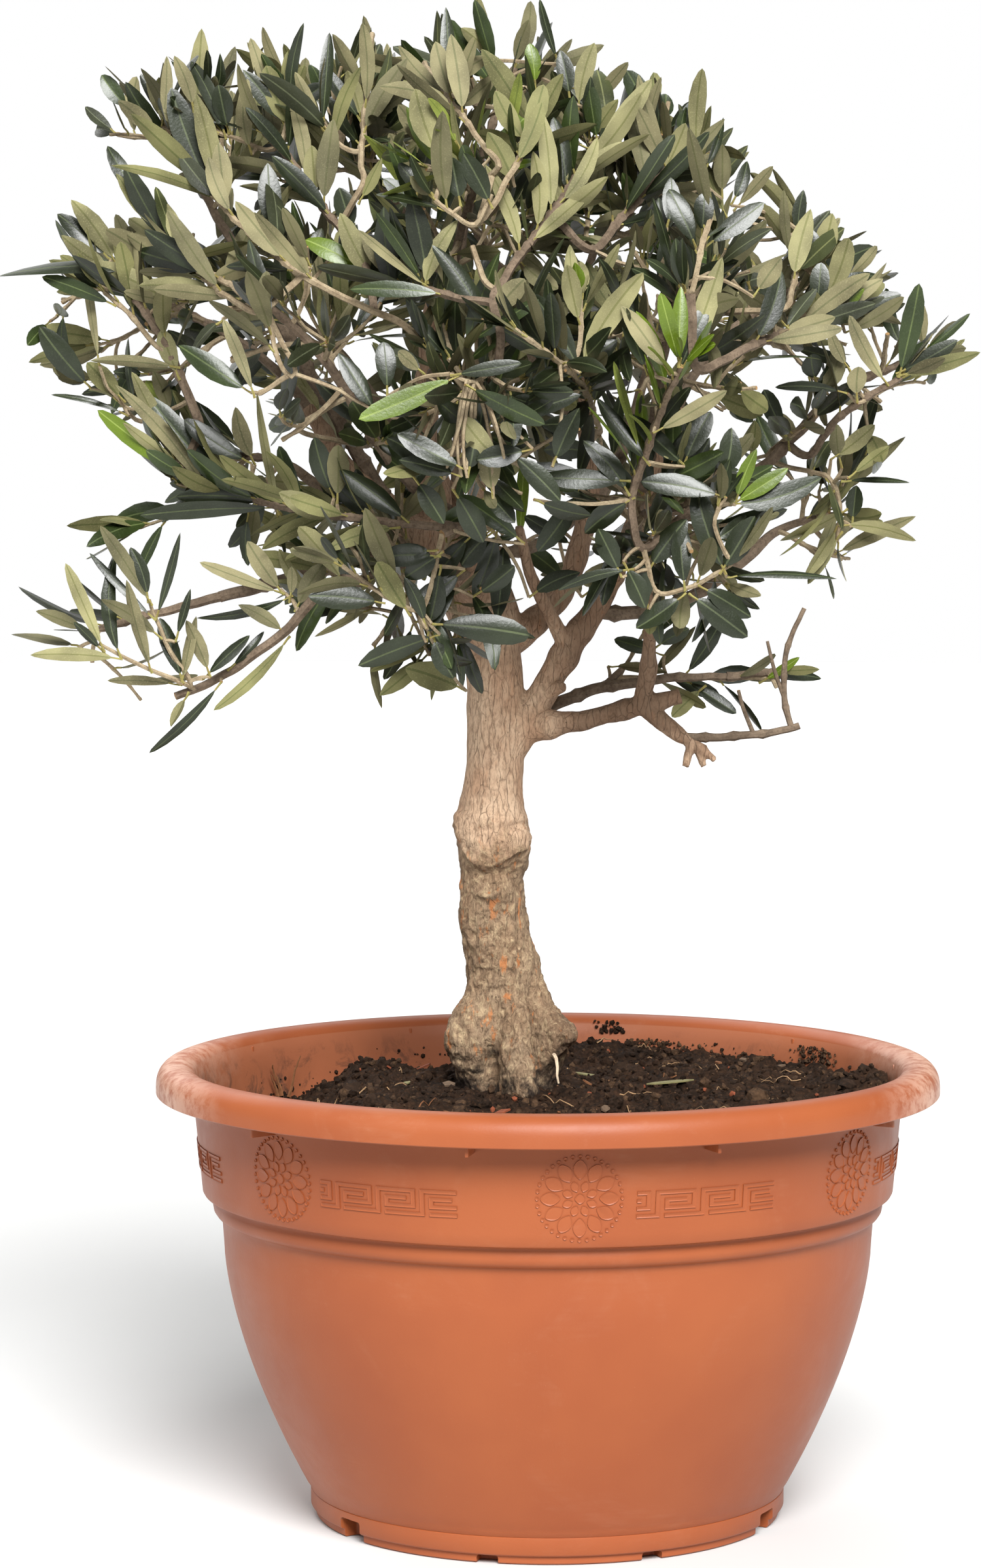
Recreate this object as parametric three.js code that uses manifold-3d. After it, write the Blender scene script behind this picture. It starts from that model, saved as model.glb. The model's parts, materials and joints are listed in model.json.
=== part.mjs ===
// A potted olive tree: a terracotta-coloured plastic bowl on nine low feet, the soil in it, a short
// knotty trunk with its root flare, the boughs that leave it, and a round crown of leafy masses.
// Millimetres, +Z up. The origin is the centre of the bowl's underside, and the bowl stands on z = 0.
// The tree is seen from -Y in the photograph, with +X to the right.
import * as THREE from "three";
import { mergeVertices } from "three/addons/utils/BufferGeometryUtils.js";
import Module from "manifold-3d";

const wasm = await Module();
wasm.setup();

const CLEARANCE = 0.35; // between two pieces that touch
const UP = new THREE.Vector3(0, 0, 1);

// Bowl
const POT_SIDES = 34;
const WALL = 3;
const FLOOR = 8;
const FOOT = { radius: 119, height: 4, ringRadius: 121.7, ringTop: 15 };
const BODY = { bottom: 19, bottomRadius: 124.4, top: 141, topRadius: 165.8, curve: 1.6, steps: 3 };
const BEAD = { radius: 170.4, bottom: 156, top: 166 };
const BAND = { bottom: 168, bottomRadius: 176.5, top: 212, topRadius: 180.6 };
const RIM = { outerRadius: 200, ridgeRadius: 189.5, innerRadius: 181.5, height: 233, lip: 213, lipWall: 2.4 };
const RIM_ROOT = { radius: 182.4, height: 225 }; // where the rim's underside meets the band
const NOTCHES = { count: 9, width: 11, innerRadius: 98, turn: 15 };

// Soil
const SOIL = {
  level: 217, mound: 4, moundSpread: 60, lowLeft: 24, lowFrom: -92, lowTo: -142, edge: 175, rings: 5,
};
const HEAPS = [ // heaps, and hollows where the height is negative
  { at: [168, 28], height: 9, spread: 16 },
  { at: [28, 148], height: 6, spread: 26 },
  { at: [-92, 106], height: 6, spread: 18 },
  { at: [-70, 150], height: -14, spread: 40 },
  { at: [-140, 98], height: 7, spread: 16 },
  { at: [78, 52], height: 4, spread: 22 },
  { at: [112, 98], height: -4, spread: 22 },
  { at: [140, -20], height: -4, spread: 18 },
  { at: [104, -62], height: 4, spread: 22 },
  { at: [70, -132], height: 3, spread: 22 },
  { at: [34, -74], height: -4, spread: 22 },
  { at: [-18, -122], height: 4, spread: 24 },
  { at: [-66, -34], height: 4, spread: 20 },
  { at: [-52, 62], height: 3, spread: 18 },
  { at: [18, 84], height: -3, spread: 18 },
];

// Trunk: heights are above its foot, and its flat cut lies just under the soil's surface
const TRUNK = { foot: 210, cut: 5, height: 300, sides: 12, turn: 14, steps: 24, crowding: 1.35 };
const SHAFT = { radius: 17.2, neckRadius: 14.4, neckFrom: 118, neckTo: 185 };
const FORK = { radius: 19, from: 228, to: 252, topRadius: 15, topFrom: 262 };
const FLARE = { radius: 4, from: 30, to: 66 };
const ROOTS = [ // swellings of the flare: each side in degrees, and how fast it fades round, above and below
  { side: 180, width: 50, reach: 12.5, crest: 36, above: 20, below: 30 },
  { side: 284, width: 24, reach: 20, crest: 8, above: 34, below: 60 },
  { side: 350, width: 36, reach: 16, crest: 38, above: 15, below: 11 },
  { side: 75, width: 44, reach: 12, crest: 34, above: 17, below: 30 },
];
const TRUNK_LINE = [
  [-19, 0, 0], [-20, 0, 50], [-27.5, 0, 92], [-28, 0, 150],
  [-26.5, 0, 200], [-29, 0, 235], [-40, 0, 270], [-56, 3, 300],
];
const BURL_SPREAD = 45; // degrees to each side
const BURLS = [
  { height: 142, side: null, swell: 3.4, spread: 10 },
  { height: 151, side: 185, swell: 4.5, spread: 9 },
  { height: 133, side: 320, swell: 2.5, spread: 9 },
  { height: 116, side: null, swell: -1.4, spread: 6 },
  { height: 74, side: 350, swell: 3.5, spread: 13 },
];

// Main boughs: each leaves its parent at a share of the parent's length, and bows away from the straight line
const BOUGHS = [
  {
    name: "right_bough", parent: "trunk", at: 0.585,
    tip: [66, -8, 566], bow: [8, 0, -3], radii: [8.8, 3.6],
  },
  {
    name: "centre_bough", parent: "trunk", at: 0.79,
    tip: [16, 38, 592], bow: [22, 0, -30], radii: [7, 3.4],
  },
  {
    name: "leader_bough", parent: "trunk", at: 1,
    tip: [-58, -6, 620], bow: [-6, 0, 0], radii: [9, 3.4],
  },
  {
    name: "left_bough", parent: "trunk", at: 0.93,
    tip: [-122, -6, 566], bow: [0, 0, -12], radii: [8.5, 3.4],
  },
  {
    name: "back_bough", parent: "trunk", at: 0.9,
    tip: [-34, 84, 556], bow: [0, 0, -14], radii: [7.5, 3.4],
  },
  {
    name: "front_bough", parent: "trunk", at: 0.86,
    tip: [-46, -84, 530], bow: [0, 0, -12], radii: [6.5, 3.2],
  },
  {
    name: "right_low_bough", parent: "right_bough", at: 0.1,
    tip: [48, -26, 417], bow: [0, 0, -2], radii: [5.8, 4.6],
  },
  {
    name: "right_back_twig", parent: "right_bough", at: 0.13,
    tip: [92, 22, 428], bow: [-8, 0, 6], radii: [3.6, 1.9],
  },
  {
    name: "right_shoot", parent: "right_low_bough", at: 0.97,
    tip: [44, -58, 500], bow: [6, 2, -2], radii: [3.8, 2.6],
  },
  {
    name: "broken_stub", parent: "right_low_bough", at: 0.98,
    tip: [78, -30, 394], bow: [-3, 0, 1], radii: [3.8, 2.4],
  },
  {
    name: "bare_twig", parent: "broken_stub", at: 0.7,
    tip: [126, -30, 406], bow: [4, 0, -2], radii: [2.2, 1.8],
  },
  {
    name: "bare_twig_tip", parent: "bare_twig", at: 0.93,
    tip: [128, -32, 465], bow: [-7, 0, 0], radii: [1.6, 1.2],
  },
];

// Foliage masses: each keeps to a ball and to its own side of the flat bounds between it and its neighbours.
// Its stem starts at the tip of a bough of its own, or at its parent's tip where at is 1.
const MASSES = [
  { name: "crown_top", parent: "leader_bough", at: 0.9, centre: [-28, 5, 704], radius: 76 },
  { name: "crown_top_left", parent: "leader_bough", at: 1, centre: [-106, -22, 688], radius: 74 },
  { name: "crown_top_right", parent: "centre_bough", at: 1, centre: [48, 2, 676], radius: 70 },
  { name: "crown_upper_left", parent: "left_bough", at: 0.35, centre: [-174, -12, 674], radius: 80, sag: 0 },
  { name: "crown_left", parent: "left_bough", at: 1, centre: [-200, -6, 612], radius: 82 },
  { name: "crown_left_low", parent: "left_bough", at: 0.5, centre: [-152, -30, 540], radius: 64 },
  { name: "hanging_left", parent: "left_bough", at: 0.18, centre: [-198, -52, 462], radius: 74, sag: 0.003 },
  { name: "crown_right", parent: "right_bough", at: 1, centre: [118, 8, 614], radius: 68 },
  { name: "crown_far_right", parent: "right_bough", at: 0.72, centre: [160, -22, 576], radius: 64 },
  { name: "crown_right_low", parent: "right_bough", at: 0.45, centre: [136, 14, 508], radius: 56 },
  { name: "front_top", parent: "leader_bough", at: 0.55, centre: [-42, -96, 650], radius: 74 },
  { name: "front_left", parent: "front_bough", at: 0.8, centre: [-122, -106, 596], radius: 74 },
  { name: "front_middle", parent: "front_bough", at: 1, centre: [-32, -144, 566], radius: 72 },
  { name: "front_right", parent: "right_bough", at: 0.6, centre: [58, -112, 602], radius: 74 },
  { name: "front_low_left", parent: "front_bough", at: 0.4, centre: [-74, -78, 482], radius: 68 },
  { name: "front_low_right", parent: "right_shoot", at: 1, centre: [60, -88, 510], radius: 68 },
  { name: "right_twig_leaves", parent: "right_back_twig", at: 1, centre: [112, 24, 430], radius: 34 },
  { name: "back_top", parent: "centre_bough", at: 0.8, centre: [-36, 100, 652], radius: 76 },
  { name: "back_left", parent: "back_bough", at: 0.8, centre: [-130, 102, 606], radius: 78 },
  { name: "back_middle", parent: "back_bough", at: 1, centre: [-36, 146, 580], radius: 74 },
  { name: "back_right", parent: "centre_bough", at: 0.55, centre: [62, 110, 600], radius: 76 },
  { name: "back_low_left", parent: "back_bough", at: 0.4, centre: [-98, 86, 518], radius: 64 },
  { name: "back_low_right", parent: "back_bough", at: 0.3, centre: [40, 92, 516], radius: 64 },
];
const MAIN_BOUGH = { sides: 6, steps: 4, taper: 0.8 };
const MASS_BOUGH = {
  sides: 5, steps: 3, taper: 0.8, share: 0.62, thickest: 4.6, tipRadius: 2.8, seat: 0.5, sag: 0.14,
};

// Foliage rule
const STEM = {
  sides: 4, steps: 3, startRadius: 2.6, endRadius: 1.9, end: 0.6, turn: 0.4, bareShare: 0.6, fewest: 1,
};
const SHOOT = {
  sides: 3, count: 5, widest: 0.84, margin: 30, marginShare: 0.9, back: 0.4, firstFoot: 0.08, lastFoot: 0.92,
  shortest: 9, shrink: 0.15, startRadius: 1.5, endRadius: 1.25, steps: 1, bareShare: 0.2, fewest: 2,
};
const LEAF = {
  length: 64, width: 26, thickness: 1.9, widest: 0.42, sizes: [1, 0.9, 0.8, 0.7, 0.6, 0.5], variation: 0.15,
  spacing: 20, splay: 0.95, tipSplay: 0.6, lift: 0.1, rootDepth: 1.6, crossing: 0.3,
};
const GOLDEN_TURN = THREE.MathUtils.degToRad(137.5); // from each shoot to the next, round the stem
const BOUND = 0.3; // how far each mass stays from the flat bounds of its space

const COLOURS = {
  terracotta: 0xc4693f, soil: 0x2a211c, bark: 0x9b8468, greenBark: 0x857862, foliage: 0x4d5a3c,
};

const finish = (color, roughness) => new THREE.MeshStandardMaterial({ color, roughness, metalness: 0 });
const vector = ([x, y, z]) => new THREE.Vector3(x, y, z);
const mix = (a, b, t) => a + (b - a) * t;
const radians = THREE.MathUtils.degToRad;
const smooth = (value, from, to) => THREE.MathUtils.smoothstep(value, Math.min(from, to), Math.max(from, to));

// A bump of height 1 that falls away on both sides of 0.
const bump = (away, spread) => Math.exp(-((away / spread) ** 2));

// A repeatable run of numbers from 0 to 1.
function seeded(seed) {
  let state = (seed * 2654435761) >>> 0;
  return () => {
    state = (state + 0x6d2b79f5) >>> 0;
    let t = state;
    t = Math.imul(t ^ (t >>> 15), t | 1);
    t ^= t + Math.imul(t ^ (t >>> 7), t | 61);
    return ((t ^ (t >>> 14)) >>> 0) / 4294967296;
  };
}

// Geometry and solids

function geometryOf(points, faces) {
  const flat = new Float32Array(points.flatMap((p) => [p.x, p.y, p.z]));
  return new THREE.BufferGeometry()
    .setAttribute("position", new THREE.BufferAttribute(flat, 3))
    .setIndex(faces.flat());
}

function solidOf(geometry) {
  const bare = geometry.clone();
  bare.deleteAttribute("normal");
  bare.deleteAttribute("uv");
  const merged = mergeVertices(bare, 1e-4);
  return new wasm.Manifold(
    new wasm.Mesh({
      numProp: 3,
      vertProperties: merged.attributes.position.array,
      triVerts: new Uint32Array(merged.index.array),
    }),
  );
}

// The largest piece of a solid as a geometry, so that a scrap that a cut leaves is dropped.
function largest(solid) {
  const piece = solid.decompose().reduce((a, b) => (a.volume() > b.volume() ? a : b));
  const mesh = piece.getMesh();
  const points = [];
  for (let i = 0; i < mesh.numVert; i++) points.push(vector(mesh.vertProperties.slice(i * 3, i * 3 + 3)));
  return geometryOf(points, [Array.from(mesh.triVerts)]);
}

// A closed skin over rings of points, each ring of the same count, with a flat cap on both ends.
function loft(rings) {
  const sides = rings[0].length;
  const faces = [];
  for (let i = 0; i + 1 < rings.length; i++)
    for (let k = 0; k < sides; k++) {
      const [a, b] = [i * sides + k, i * sides + ((k + 1) % sides)];
      faces.push([a, b, b + sides], [a, b + sides, a + sides]);
    }
  const last = (rings.length - 1) * sides;
  for (let k = 1; k + 1 < sides; k++) faces.push([0, k + 1, k], [last, last + k, last + k + 1]);
  return geometryOf(rings.flat(), faces);
}

// A round limb along a curve. radiusAt takes the share of the length.
function limb(curve, radiusAt, sides, steps) {
  const { normals, binormals } = curve.computeFrenetFrames(steps, false);
  const rings = Array.from({ length: steps + 1 }, (_, i) =>
    Array.from({ length: sides }, (_, k) => {
      const angle = (2 * Math.PI * k) / sides;
      const out = normals[i].clone().multiplyScalar(Math.cos(angle));
      out.addScaledVector(binormals[i], Math.sin(angle));
      return curve.getPointAt(i / steps).addScaledVector(out, radiusAt(i / steps));
    }),
  );
  return loft(rings);
}

// Bowl

function bodyRadius(z) {
  const share = 1 - (z - BODY.bottom) / (BODY.top - BODY.bottom);
  return BODY.topRadius - (BODY.topRadius - BODY.bottomRadius) * Math.max(0, share) ** BODY.curve;
}

function bandRadius(z) {
  return mix(BAND.bottomRadius, BAND.topRadius, (z - BAND.bottom) / (BAND.top - BAND.bottom));
}

function bodyHeights() {
  return Array.from({ length: BODY.steps + 1 }, (_, i) => mix(BODY.bottom, BODY.top, i / BODY.steps));
}

// The inside of the wall from the floor to the top of the band, as [radius, height].
function innerWall() {
  return [
    [FOOT.radius - WALL, FLOOR],
    ...bodyHeights().map((z) => [bodyRadius(z) - WALL, z]),
    [BEAD.radius - WALL, BEAD.top],
    ...[BAND.bottom + WALL, BAND.top].map((z) => [bandRadius(z) - WALL, z]),
  ];
}

function bowl() {
  const { outerRadius, ridgeRadius, innerRadius, height, lip, lipWall } = RIM;
  const outline = [
    [0, 0],
    [FOOT.radius, 0],
    [FOOT.ringRadius, FOOT.ringTop],
    ...bodyHeights().map((z) => [bodyRadius(z), z]),
    [BEAD.radius, BEAD.bottom],
    [BEAD.radius, BEAD.top],
    [BAND.bottomRadius, BAND.bottom],
    [BAND.topRadius, BAND.top],
    [RIM_ROOT.radius, RIM_ROOT.height],
    [outerRadius - lipWall, lip],
    [outerRadius, lip],
    [outerRadius, lip + 6],
    [outerRadius - 3, height - 6.5],
    [ridgeRadius, height],
    [innerRadius, height - 4],
    ...innerWall().reverse(),
    [0, FLOOR],
  ];
  const profile = outline.map(([r, z]) => new THREE.Vector2(r, z));
  let made = solidOf(new THREE.LatheGeometry(profile, POT_SIDES).rotateX(Math.PI / 2));
  const notch = new THREE.BoxGeometry(RIM.outerRadius, NOTCHES.width, 2 * FOOT.height);
  notch.translate(NOTCHES.innerRadius + RIM.outerRadius / 2, 0, 0);
  for (let i = 0; i < NOTCHES.count; i++) {
    const turned = notch.clone().rotateZ(radians(NOTCHES.turn + (360 * i) / NOTCHES.count));
    made = made.subtract(solidOf(turned));
  }
  return made;
}

// Soil

function soilHeight(x, y) {
  const nearTrunk = bump(Math.hypot(x - TRUNK_LINE[0][0], y), SOIL.moundSpread);
  const fall = 1 - smooth(x, SOIL.lowTo, SOIL.lowFrom);
  const level = SOIL.level + SOIL.mound * nearTrunk - SOIL.lowLeft * fall;
  const heapAt = ({ at, height, spread }) => height * bump(Math.hypot(x - at[0], y - at[1]), spread);
  return HEAPS.reduce((z, heap) => z + heapAt(heap), level);
}

function soil() {
  const wall = innerWall().filter(([, z]) => z === FLOOR || z === BODY.top || z === BEAD.top);
  const rings = wall.map(([r, z], i) => circle(() => r - CLEARANCE, () => (i ? z : z + CLEARANCE)));
  for (let i = 0; i < SOIL.rings; i++) {
    const share = 1 - i / SOIL.rings;
    const edge = (c, s) => bandRadius(soilHeight(SOIL.edge * c, SOIL.edge * s)) - WALL - CLEARANCE;
    const radiusAt = (c, s) => share * edge(c, s);
    rings.push(circle(radiusAt, (c, s) => soilHeight(radiusAt(c, s) * c, radiusAt(c, s) * s)));
  }
  return solidOf(loft(rings));
}

// A ring of points round the bowl's axis, in line with the corners of the bowl, which start at -Y.
function circle(radiusAt, heightAt) {
  return Array.from({ length: POT_SIDES }, (_, k) => {
    const angle = (2 * Math.PI * k) / POT_SIDES;
    const [c, s] = [Math.sin(angle), -Math.cos(angle)];
    return new THREE.Vector3(radiusAt(c, s) * c, radiusAt(c, s) * s, heightAt(c, s));
  });
}

// Trunk and boughs

function angleBetween(a, b) {
  const turn = Math.abs(a - b) % 360;
  return Math.min(turn, 360 - turn);
}

function trunkRadius(height, degrees) {
  const rootAt = ({ side, width, reach, crest, above, below }) =>
    reach * bump(angleBetween(degrees, side), width) * bump(height - crest, height > crest ? above : below);
  let radius = mix(SHAFT.radius, SHAFT.neckRadius, smooth(height, SHAFT.neckFrom, SHAFT.neckTo));
  radius = mix(radius, FORK.radius, smooth(height, FORK.from, FORK.to));
  radius = mix(radius, FORK.topRadius, smooth(height, FORK.topFrom, TRUNK.height));
  radius += FLARE.radius * (1 - smooth(height, FLARE.from, FLARE.to)) + Math.max(...ROOTS.map(rootAt));
  for (const burl of BURLS) {
    const around = burl.side === null ? 1 : bump(angleBetween(degrees, burl.side), BURL_SPREAD);
    radius += burl.swell * around * bump(height - burl.height, burl.spread);
  }
  return radius;
}

const trunkLine = new THREE.CatmullRomCurve3(
  TRUNK_LINE.map(([x, y, height]) => new THREE.Vector3(x, y, TRUNK.foot + height)),
);

// The trunk, or the space that it needs when there is extra room round it.
function trunk(extra = 0) {
  const rings = Array.from({ length: TRUNK.steps + 1 }, (_, i) => {
    const height = mix(TRUNK.cut, TRUNK.height, (i / TRUNK.steps) ** TRUNK.crowding);
    const centre = trunkLine.getPoint(trunkShare(height));
    if (i === 0) centre.z -= extra;
    if (i === TRUNK.steps) centre.z += extra;
    return Array.from({ length: TRUNK.sides }, (_, k) => {
      const angle = TRUNK.turn + (360 * k) / TRUNK.sides;
      const out = new THREE.Vector3(trunkRadius(height, angle) + extra, 0, 0);
      return out.applyAxisAngle(UP, radians(angle)).add(centre);
    });
  });
  return solidOf(loft(rings));
}

// The share along the trunk's line at a height above its foot.
function trunkShare(height) {
  let [low, high] = [0, 1];
  for (let i = 0; i < 24; i++) {
    const middle = (low + high) / 2;
    if (trunkLine.getPoint(middle).z - TRUNK.foot < height) low = middle;
    else high = middle;
  }
  return (low + high) / 2;
}

const limbs = new Map();
limbs.set("trunk", {
  pointAt: (t) => trunkLine.getPoint(trunkShare(t * TRUNK.height)),
  radiusAt: (t) => trunkRadius(t * TRUNK.height, 90),
  solid: trunk(),
  grown: trunk(CLEARANCE),
});

function bowed(start, tip, bow) {
  const middle = start.clone().lerp(tip, 0.5).addScaledVector(bow, 2);
  return new THREE.QuadraticBezierCurve3(start, middle, tip);
}

// A bough leaves the middle of its parent, and is cut back clear of every limb made before it.
function addBough({ name, parent, at, tip, bow, radii }, { sides, steps, taper }) {
  const curve = bowed(limbs.get(parent).pointAt(at), tip, bow);
  const radiusAt = (t) => mix(...radii, t ** taper);
  let solid = solidOf(limb(curve, radiusAt, sides, steps));
  for (const other of limbs.values()) solid = solid.subtract(other.grown);
  const grown = solidOf(limb(curve, (t) => radiusAt(t) + CLEARANCE, sides, steps));
  limbs.set(name, { pointAt: (t) => curve.getPointAt(t), radiusAt, solid, grown, curve });
}

for (const bough of BOUGHS)
  addBough({ ...bough, tip: vector(bough.tip), bow: vector(bough.bow) }, MAIN_BOUGH);

// The bough of its own that carries a mass. It ends part of the way from the edge of the mass to its middle.
function addMassBough(mass) {
  const { name, parent, at, middle, radius, sag = MASS_BOUGH.sag } = mass;
  const start = limbs.get(parent).pointAt(at);
  const tip = middle.clone().add(start.clone().sub(middle).setLength(radius * MASS_BOUGH.seat));
  const bow = UP.clone().multiplyScalar(-sag * start.distanceTo(tip));
  const thick = Math.min(MASS_BOUGH.thickest, limbs.get(parent).radiusAt(at) * MASS_BOUGH.share);
  mass.bough = name + "_bough";
  addBough({ name: mass.bough, parent, at, tip, bow, radii: [thick, MASS_BOUGH.tipRadius] }, MASS_BOUGH);
}

for (const mass of MASSES) {
  mass.middle = vector(mass.centre);
  mass.bough = mass.parent;
  if (mass.at < 1) addMassBough(mass);
}

// Foliage: the space of a mass, and what grows in it

// How far inside its mass's space a point lies; negative outside it.
function roomAt(mass, point) {
  let room = mass.radius - point.distanceTo(mass.middle);
  const own = point.distanceToSquared(mass.middle) - mass.radius ** 2;
  for (const other of MASSES) {
    if (other === mass) continue;
    const theirs = point.distanceToSquared(other.middle) - other.radius ** 2;
    room = Math.min(room, (theirs - own) / (2 * mass.middle.distanceTo(other.middle)) - BOUND);
  }
  return room;
}

const limbSpace = wasm.Manifold.union([...limbs.values()].map(({ grown }) => grown));
const touchesLimbs = (solid) => !solid.intersect(limbSpace).isEmpty();

// A direction square to the axis, turned round it by an angle.
function sideways(axis, turn) {
  const first = new THREE.Vector3(1, 0.13, 0.07).cross(axis).normalize();
  return first.applyAxisAngle(axis, turn);
}

// An eight-faced leaf. Its upper side faces the tip of the twig that it stands on.
function leafShape(base, direction, faceUp, size) {
  const side = direction.clone().cross(faceUp).normalize();
  const up = side.clone().cross(direction).normalize();
  const middle = base.clone().addScaledVector(direction, LEAF.length * size * LEAF.widest);
  const half = (LEAF.width * size) / 2;
  const points = [
    base,
    middle.clone().addScaledVector(side, half),
    middle.clone().addScaledVector(up, LEAF.thickness / 2),
    middle.clone().addScaledVector(side, -half),
    middle.clone().addScaledVector(up, -LEAF.thickness / 2),
    base.clone().addScaledVector(direction, LEAF.length * size),
  ];
  const faces = [];
  for (let k = 0; k < 4; k++) {
    const [a, b] = [1 + k, 1 + ((k + 1) % 4)];
    faces.push([0, a, b], [5, b, a]);
  }
  return { points, geometry: geometryOf(points, faces) };
}

// A leaf from the middle of its twig, as long as its place leaves room for, or none.
function growLeaf(mass, node, axis, side, splay, random) {
  const direction = axis.clone().multiplyScalar(Math.cos(splay)).addScaledVector(side, Math.sin(splay));
  direction.addScaledVector(UP, LEAF.lift).normalize();
  const size = 1 + LEAF.variation * (2 * random() - 1);
  for (const share of LEAF.sizes) {
    const leaf = leafShape(node, direction, axis, size * share);
    if (leaf.points.some((p) => roomAt(mass, p) < 0)) continue;
    const solid = solidOf(leaf.geometry);
    if (touchesLimbs(solid) || mass.leaves.intersect(solid).volume() > LEAF.crossing) continue;
    mass.leaves = mass.leaves.add(solid);
    return;
  }
}

function twig(curve, { startRadius, endRadius, sides, steps }) {
  return solidOf(limb(curve, (t) => mix(startRadius, endRadius, t), sides, steps));
}

// A twig with opposite pairs of leaves, each pair a quarter turn round from the last.
function growTwig(mass, curve, kind, random) {
  const { bareShare, fewest } = kind;
  const first = random() * Math.PI;
  const length = curve.getLength();
  const nodes = Math.max(fewest, Math.round((length * (1 - bareShare)) / LEAF.spacing));
  for (let i = 1; i <= nodes; i++) {
    const splay = i === nodes ? LEAF.tipSplay : LEAF.splay;
    const at = bareShare + ((1 - bareShare) * i) / nodes;
    const axis = curve.getTangentAt(at);
    const node = curve.getPointAt(Math.min(at, 1 - LEAF.rootDepth / length));
    const turn = first + (i * Math.PI) / 2;
    for (const half of [0, Math.PI]) growLeaf(mass, node, axis, sideways(axis, turn + half), splay, random);
  }
  return twig(curve, kind);
}

// The furthest point from the middle of a mass in a direction that leaves room round it for leaves.
function furthest(mass, direction) {
  const margin = Math.min(SHOOT.margin, SHOOT.marginShare * roomAt(mass, mass.middle));
  let reach = mass.radius - margin;
  const point = () => mass.middle.clone().addScaledVector(direction, reach);
  while (reach > 0 && roomAt(mass, point()) < margin) reach -= 2;
  return point();
}

// A shoot from the stem to the k-th of the points that are spread evenly over the space of the mass.
function shootLine(mass, stem, outward, k, seed) {
  const polar = Math.acos(1 - 2 * SHOOT.widest * ((k + 0.5) / SHOOT.count));
  const side = sideways(outward, k * GOLDEN_TURN + seed);
  const direction = outward.clone().multiplyScalar(Math.cos(polar)).addScaledVector(side, Math.sin(polar));
  const tip = furthest(mass, direction);
  const reach = tip.clone().sub(stem.getPointAt(0));
  const along = reach.dot(outward);
  const aside = reach.addScaledVector(outward, -along).length();
  const share = (along - SHOOT.back * aside) / stem.getLength();
  const foot = stem.getPointAt(THREE.MathUtils.clamp(share, SHOOT.firstFoot, SHOOT.lastFoot));
  const line = new THREE.LineCurve3(foot, tip);
  while (foot.distanceTo(tip) > SHOOT.shortest && touchesLimbs(twig(line, SHOOT)))
    tip.lerp(foot, SHOOT.shrink);
  return line;
}

// One stem from the tip of its bough, with shoots and leaves.
function growMass(mass, seed) {
  const heading = limbs.get(mass.bough).curve.getTangentAt(1);
  const start = limbs.get(mass.bough).pointAt(1).addScaledVector(heading, CLEARANCE);
  const outward = mass.middle.clone().sub(start).normalize();
  const end = mass.middle.clone().lerp(furthest(mass, outward), STEM.end);
  const turn = start.clone().addScaledVector(heading, start.distanceTo(end) * STEM.turn);
  const stem = new THREE.QuadraticBezierCurve3(start, turn, end);
  mass.leaves = wasm.Manifold.union([]);
  let wood = growTwig(mass, stem, STEM, seeded(seed));
  for (let k = 0; k < SHOOT.count; k++) {
    const line = shootLine(mass, stem, outward, k, seed);
    if (line.getLength() > SHOOT.shortest)
      wood = wood.add(growTwig(mass, line, SHOOT, seeded(seed * 100 + k + 1)));
  }
  return wood.add(mass.leaves);
}

// The whole tree

const tree = new THREE.Group();

function addPiece(name, solid, material) {
  const mesh = new THREE.Mesh(largest(solid), material);
  mesh.name = name;
  tree.add(mesh);
}

addPiece("pot", bowl(), finish(COLOURS.terracotta, 0.5));
addPiece("soil", soil().subtract(limbs.get("trunk").grown), finish(COLOURS.soil, 1));
for (const [name, { solid }] of limbs)
  addPiece(name, solid, finish(name === "trunk" ? COLOURS.bark : COLOURS.greenBark, 0.9));
MASSES.forEach((mass, i) => addPiece(mass.name, growMass(mass, i + 1), finish(COLOURS.foliage, 0.6)));

export default tree;
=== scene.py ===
"""A potted olive tree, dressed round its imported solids.

A wide terracotta-coloured plastic bowl on nine low feet, crumbly soil, a short knotty trunk with its root
flare, the boughs, and a round crown that is carried to twigs, stalked leaves and cut ends.

Sizes are in millimetres, and every mesh is made in metres, by MM. Heights and sides in a finish are in
metres, because its patterns read them so. +Z is up and the photograph looks along +Y, so the front of the
tree faces -Y. An azimuth round the bowl is measured in degrees from the front, towards +X.
"""

import sys

import json
import logging
import math
import random
from collections.abc import Sequence
from dataclasses import dataclass
from enum import Enum
from itertools import product

import bpy
import numpy as np
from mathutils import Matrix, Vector, noise

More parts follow.
